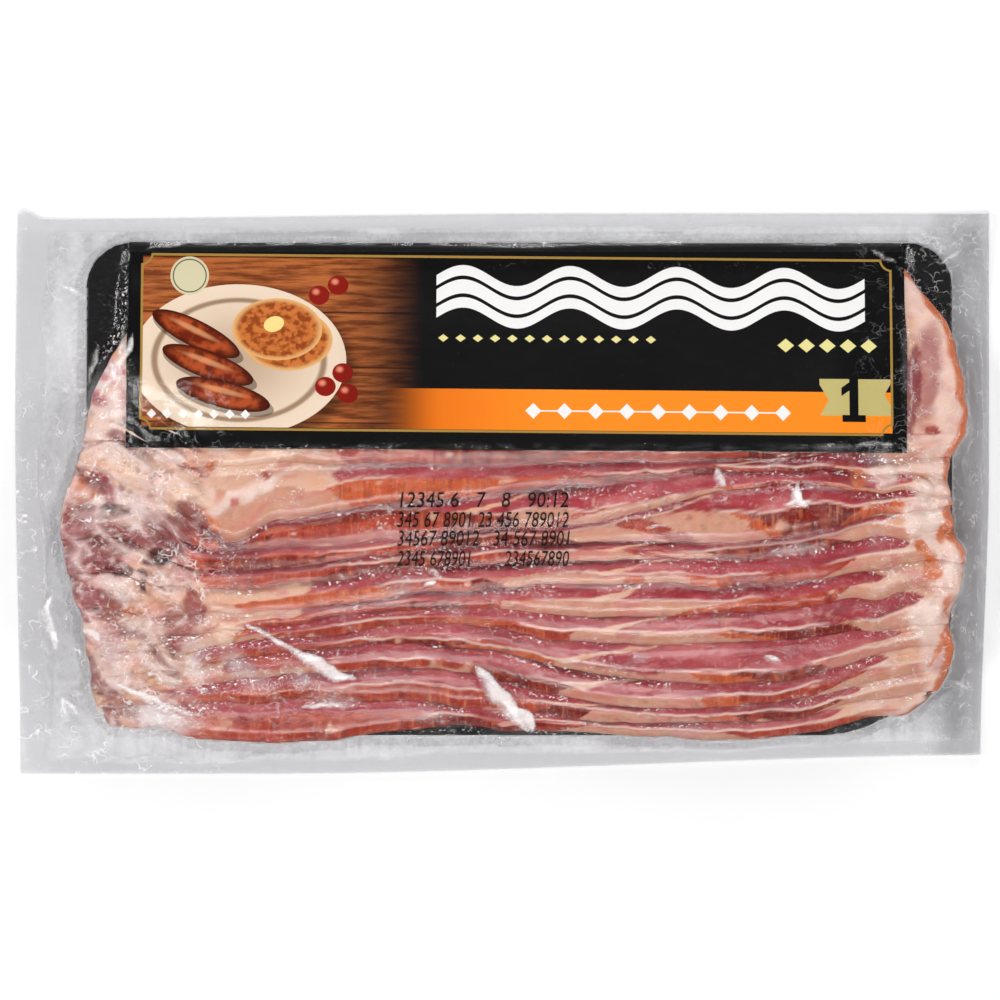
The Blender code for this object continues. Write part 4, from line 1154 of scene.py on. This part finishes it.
def print_material():
    """The flap's print: black with a gold line, a food picture, an orange band and plain ornaments."""
    g = Print("black_card_print")
    colour = picture(g, BLACK_INK)
    band = g.both(g.box(-36.0, 112.6, 18.4, 30.2), g.ramp(g.x, -36.0, -16.0))
    glow = g.mix(g.ramp(g.x, -30.0, 20.0), tuple(srgb(232, 116, 26)), ORANGE_INK)
    colour = g.mix(band, colour, glow)
    white, across = g.wave(43.0, 57.0, 0.0, 62.0, 6.2, 3.0, 31.0)
    streak = g.math("LESS_THAN", g.math("ABSOLUTE", g.sub(g.math("ABSOLUTE", across), 0.42)), 0.09)
    colour = g.mix(g.both(white, g.outside(streak)), colour, WHITE_INK)
    colour = g.mix(g.diamond_row(-17.0, 43.0, 44.9, 5.0, 1.5, 1.1), colour, PALE_YELLOW_INK)
    colour = g.mix(g.diamond_row(82.0, 106.0, 43.6, 6.0, 2.4, 2.0), colour, PALE_YELLOW_INK)
    colour = g.mix(g.diamond_row(9.0, 81.0, 24.0, 9.0, 2.3, 2.3), colour, WHITE_INK)
    colour = g.mix(g.box(9.0, 81.0, 23.8, 24.2), colour, WHITE_INK)
    colour = g.mix(g.diamond_row(-101.0, -74.0, 22.2, 4.5, 1.4, 1.4), colour, WHITE_INK)
    colour = g.mix(g.disc(-90.5, 62.4, 5.6, 5.6), colour, tuple(srgb(214, 206, 170)))
    ring_r = g.radius(-90.5, 62.4, 4.9, 4.9)
    colour = g.mix(g.both(g.ramp(ring_r, 0.92, 0.95), g.ramp(ring_r, 1.02, 0.99)), colour, tuple(srgb(90, 84, 60)))
    notch = g.either(g.diamond(91.2, 27.8, 3.0, 5.2), g.diamond(113.4, 29.6, 3.0, 5.2))
    ribbon = g.both(g.box(91.6, 112.8, 23.4, 34.0), g.outside(notch))
    colour = g.mix(ribbon, colour, OLIVE_INK)
    colour = g.mix(numeral(g, 101.5, 21.6, 14.6), colour, BLACK_INK)
    frame_line = g.both(g.box(-104.6, 112.9, 17.6, 68.9), g.outside(g.box(-103.9, 112.2, 18.3, 68.2)))
    corners = [g.disc(cx, cy, 3.0, 3.0) for cx in (-104.6, 112.9) for cy in (17.6, 68.9)]
    rings = [g.both(g.disc(cx, cy, 3.6, 3.6), g.box(-104.6, 112.9, 17.6, 68.9)) for cx in (-104.6, 112.9) for cy in (17.6, 68.9)]
    line = g.both(g.either(frame_line, *rings), g.outside(g.either(*corners)))
    colour = g.mix(line, colour, GOLD_INK)
    worn = g.ramp(g.noise(0.6, 4.0, (1.0, 1.0, 1.0), 0.7), 0.66, 0.8)
    colour = g.mix(g.mul(worn, 0.12), colour, (0.25, 0.25, 0.25))
    normal = g.bump(g.noise(0.12, 3.0), 0.5, 0.35)
    shader = g.node("BsdfPrincipled", (
        ("Base Color", colour), ("Roughness", g.add(0.42, g.mul(worn, 0.2))), ("Normal", normal),
        ("Specular IOR Level", 0.06),
    ))
    return g.finish(shader.outputs[0])


def card_material():
    """Plain black card with faint fibres."""
    g = Graph("black_card")
    fibre = g.noise(1.5, 4.0, (0.4, 1.0, 1.0), 0.6)
    colour = g.mix(g.ramp(fibre, 0.5, 0.8), BLACK_INK, tuple(srgb(34, 35, 39)))
    normal = g.bump(fibre, 0.1, 0.4)
    shader = g.node("BsdfPrincipled", (
        ("Base Color", colour), ("Roughness", g.add(0.4, g.mul(fibre, 0.2))), ("Normal", normal),
        ("Specular IOR Level", 0.2),
    ))
    return g.finish(shader.outputs[0])


def film_material():
    """Clear film: mirror-like at a slant, wrinkled at the ends, frosted over crevices with specks that are partly
    painted glints, with painted highlights on its creases and wrinkles, dull patches partly painted as sheen, and a
    grey margin with painted light and shade; the painted glints glow faintly.
    """
    g = Graph("clear_film")
    g.material.cycles.emission_sampling = "NONE"
    white, haze_and_sheen, outside, tent = (g.attribute(name) for name in ("white", "haze_and_sheen", "outside", "tent"))
    bridge, crumple, grey, meat = (g.attribute(name) for name in ("bridge", "crumple", "grey", "meat"))
    crinkle = g.noise(0.35, 4.0, (1.0, 1.0, 1.0), 0.65)
    fine = g.noise(1.1, 2.0, (1.0, 1.0, 1.0), 0.6)
    height = g.add(crinkle, g.mul(fine, g.add(0.15, g.mul(meat, 0.35))))
    height = g.mul(height, g.add(0.22, g.either(g.mul(meat, 0.5), crumple, g.mul(outside, 0.7))))
    normal = g.bump(height, 0.5, 0.5)
    sheen = g.node("BsdfGlossy", (("Roughness", 0.11), ("Normal", normal), ("Color", (1.0, 1.0, 1.0, 1.0)))).outputs[0]
    clear = g.node("BsdfTransparent", (("Color", (0.975, 0.975, 0.98, 1.0)),)).outputs[0]
    facing = g.node("LayerWeight", (("Blend", 0.5), ("Normal", normal))).outputs["Facing"]
    slant = g.add(0.018, g.mul(g.sub(0.9, g.mul(meat, 0.75)), g.math("POWER", facing, 5.0)))
    skin = g.node("MixShader", ((0, slant), (1, clear), (2, sheen))).outputs[0]

    # Specks and curls of painted glint, partly real frost where the film stands off the meat.
    specks = g.ramp(g.noise(1.1, 3.0, (0.7, 1.0, 1.0), 0.65), 0.60, 0.63)
    curl = g.math("ABSOLUTE", g.sub(g.noise(0.55, 2.0, (0.8, 1.2, 1.0), 0.6), 0.5))
    curls = g.both(g.ramp(curl, 0.022, 0.008), g.ramp(g.noise(0.6, 2.0), 0.52, 0.62))
    specks = g.either(specks, curls)
    smears = g.ramp(g.noise(0.22, 3.0, (0.5, 1.0, 1.0), 0.7), 0.42, 0.72)
    clusters = g.ramp(g.noise(0.11, 3.0, (0.5, 1.0, 1.0), 0.6), 0.52, 0.64)
    frosty = g.add(0.12, g.mul(g.ramp(g.noise(0.07, 2.0, (0.6, 1.0, 1.0)), 0.47, 0.57), 0.88))
    frost_and_glints = g.both(specks, g.either(g.mul(bridge, frosty), g.mul(g.both(meat, clusters), 0.5), g.mul(haze_and_sheen, 1.1)))
    streaks = g.sub(g.noise(0.5, 3.0, (1.0, 1.0, 1.0), 0.75), 0.5)
    # Painted highlights on the creases, ragged at their edges.
    grain = g.mul(streaks, g.mul(g.ramp(white, 0.0, 0.3), 0.7))
    shine = g.both(g.ramp(g.add(white, grain), 0.08, 0.85), g.add(0.7, g.mul(smears, 0.3)))
    # Painted highlights along the film's wrinkles at the crumpled ends.
    level = g.math("ABSOLUTE", g.sub(g.noise(0.13, 2.0, (1.0, 1.0, 1.0), 0.55), 0.5))
    other = g.math("ABSOLUTE", g.sub(g.noise(0.24, 2.0, (0.8, 1.2, 1.0), 0.55), 0.47))
    wrinkle_highlights = g.either(g.ramp(level, 0.016, 0.002), g.mul(g.ramp(other, 0.024, 0.004), 0.7))
    wrinkle_highlights = g.both(wrinkle_highlights, crumple, g.ramp(g.noise(0.2, 3.0), 0.44, 0.62))
    # Dull film, partly a painted sheen.
    veil_and_sheen = g.mul(g.mul(haze_and_sheen, haze_and_sheen), g.add(0.55, g.mul(smears, 0.45)))
    veil_and_sheen = g.add(veil_and_sheen, g.mul(g.both(meat, smears), 0.05))
    cloud = g.add(g.mul(outside, 0.32), g.mul(tent, 0.1))
    cover = g.either(shine, g.mul(frost_and_glints, 0.9), g.mul(wrinkle_highlights, 0.6), veil_and_sheen, cloud)
    # The margin's painted light and shade, streaked most in the tents.
    level_grey = g.add(grey, g.mul(streaks, g.add(0.1, g.mul(tent, 0.7))))
    margin = g.mix(level_grey, tuple(srgb(105, 105, 109)), tuple(srgb(236, 236, 239)))
    bright = g.either(shine, frost_and_glints, wrinkle_highlights, meat)
    tone = g.mix(g.both(outside, g.outside(bright)), tuple(srgb(253, 248, 247)), margin)
    matt = g.node("BsdfDiffuse", (("Color", tone), ("Normal", normal))).outputs[0]
    # Painted glints on the creases, specks and wrinkles glow faintly.
    glint = g.mul(g.either(shine, frost_and_glints, g.mul(wrinkle_highlights, 0.7)), 0.22)
    glow = g.node("Emission", (("Color", (1.0, 1.0, 1.0, 1.0)), ("Strength", glint))).outputs[0]
    matt = g.node("AddShader", ((0, matt), (1, glow))).outputs[0]
    shader = g.node("MixShader", ((0, g.math("MINIMUM", cover, 0.95)), (1, skin), (2, matt))).outputs[0]
    return g.finish(shader)


def ink_material():
    """Ink on the film, thin in places."""
    g = Graph("code_ink")
    thin = g.ramp(g.noise(1.5, 3.0), 0.6, 0.75)
    colour = g.mix(g.mul(thin, 0.4), tuple(srgb(22, 10, 10)), tuple(srgb(90, 38, 36)))
    shader = g.node("BsdfPrincipled", (("Base Color", colour), ("Roughness", 0.5), ("Specular IOR Level", 0.15)))
    return g.finish(shader.outputs[0])


def floor_material():
    """Plain white table."""
    g = Graph("floor")
    grain = g.noise(0.02, 2.0)
    colour = g.mix(g.mul(grain, 0.1), (0.94, 0.94, 0.94), (0.9, 0.9, 0.9))
    shader = g.node("BsdfPrincipled", (("Base Color", colour), ("Roughness", 0.9), ("Specular IOR Level", 0.1)))
    return g.finish(shader.outputs[0])


# ---------------------------------------------------------------- studio
CAMERA_HEIGHT = 3.0
CAMERA_AIM = (-0.0006, -0.0018)
VIEW_WIDTH = 0.290
FLANGE_HEIGHT = 0.002
# Soft lights: x, y, z in metres, side of the square, watts.
LIGHTS = (
    (0.0, -0.55, 1.0, 0.5, 7.6), (-0.95, 0.0, 0.75, 0.4, 6.0),
    (0.95, 0.1, 0.75, 0.4, 4.8), (0.0, 1.2, 0.42, 0.5, 9.0),
)


def add_floor():
    """A wide pale floor under the pack."""
    size = 4.0
    corners = np.array([(-size, -size, 0.0), (size, -size, 0.0), (size, size, 0.0), (-size, size, 0.0)]) / MM / 2.0
    floor = new_piece("floor", corners, np.array([[0, 1, 2, 3]]), floor_material())


def add_lights():
    """Four soft squares round the pack; straight above stays dark, so the black print stays black."""
    for number, (x, y, z, side, watts) in enumerate(LIGHTS):
        light = bpy.data.lights.new(f"soft_{number}", "AREA")
        light.size = side
        light.energy = watts
        holder = bpy.data.objects.new(f"soft_{number}", light)
        holder.location = (x, y, z)
        holder.rotation_euler = (-Vector((x, y, z))).to_track_quat("-Z", "Y").to_euler()
        bpy.context.scene.collection.objects.link(holder)
    world = bpy.data.worlds.new("studio")
    world.use_nodes = True
    bpy.context.scene.world = world
    tree = world.node_tree
    place = tree.nodes.new("ShaderNodeTexCoord").outputs["Generated"]
    split = tree.nodes.new("ShaderNodeSeparateXYZ")
    tree.links.new(place, split.inputs[0])
    fade = tree.nodes.new("ShaderNodeMapRange")
    tree.links.new(split.outputs["Z"], fade.inputs[0])
    for socket, value in zip(fade.inputs[1:5], (0.25, 0.95, 0.75, 0.05)):
        socket.default_value = value
    tree.links.new(fade.outputs[0], tree.nodes["Background"].inputs["Strength"])


def add_camera():
    """Straight down over the pack's middle."""
    data = bpy.data.cameras.new("camera")
    data.sensor_width = 36.0
    data.lens = 36.0 * (CAMERA_HEIGHT - FLANGE_HEIGHT) / VIEW_WIDTH
    data.clip_end = 20.0
    camera = bpy.data.objects.new("camera", data)
    camera.location = (*CAMERA_AIM, CAMERA_HEIGHT)
    bpy.context.scene.collection.objects.link(camera)
    bpy.context.scene.camera = camera


# ---------------------------------------------------------------- the pack
def build():
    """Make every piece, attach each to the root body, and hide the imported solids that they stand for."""
    bacon = bacon_material()
    clouds = []
    for m in range(SLICE_COUNT):
        piece, top = make_slice(m, bacon)
        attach(piece, "root")
        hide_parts(slice_node(m))
        clouds.append(top)
    card, points = make_card(print_material(), card_material())
    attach(card, "root")
    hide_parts("label_board")
    clouds.append(points)
    clear = film_material()
    front, film_z = make_film(clouds, clear)
    back = make_back_film(clear)
    for film in (front, back):
        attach(film, "root")
        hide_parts("pouch")
    for figures in make_code(film_z, ink_material()):
        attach(figures, "root")


bpy.context.scene.view_settings.view_transform = "Standard"
build()
add_floor()
add_lights()
add_camera()
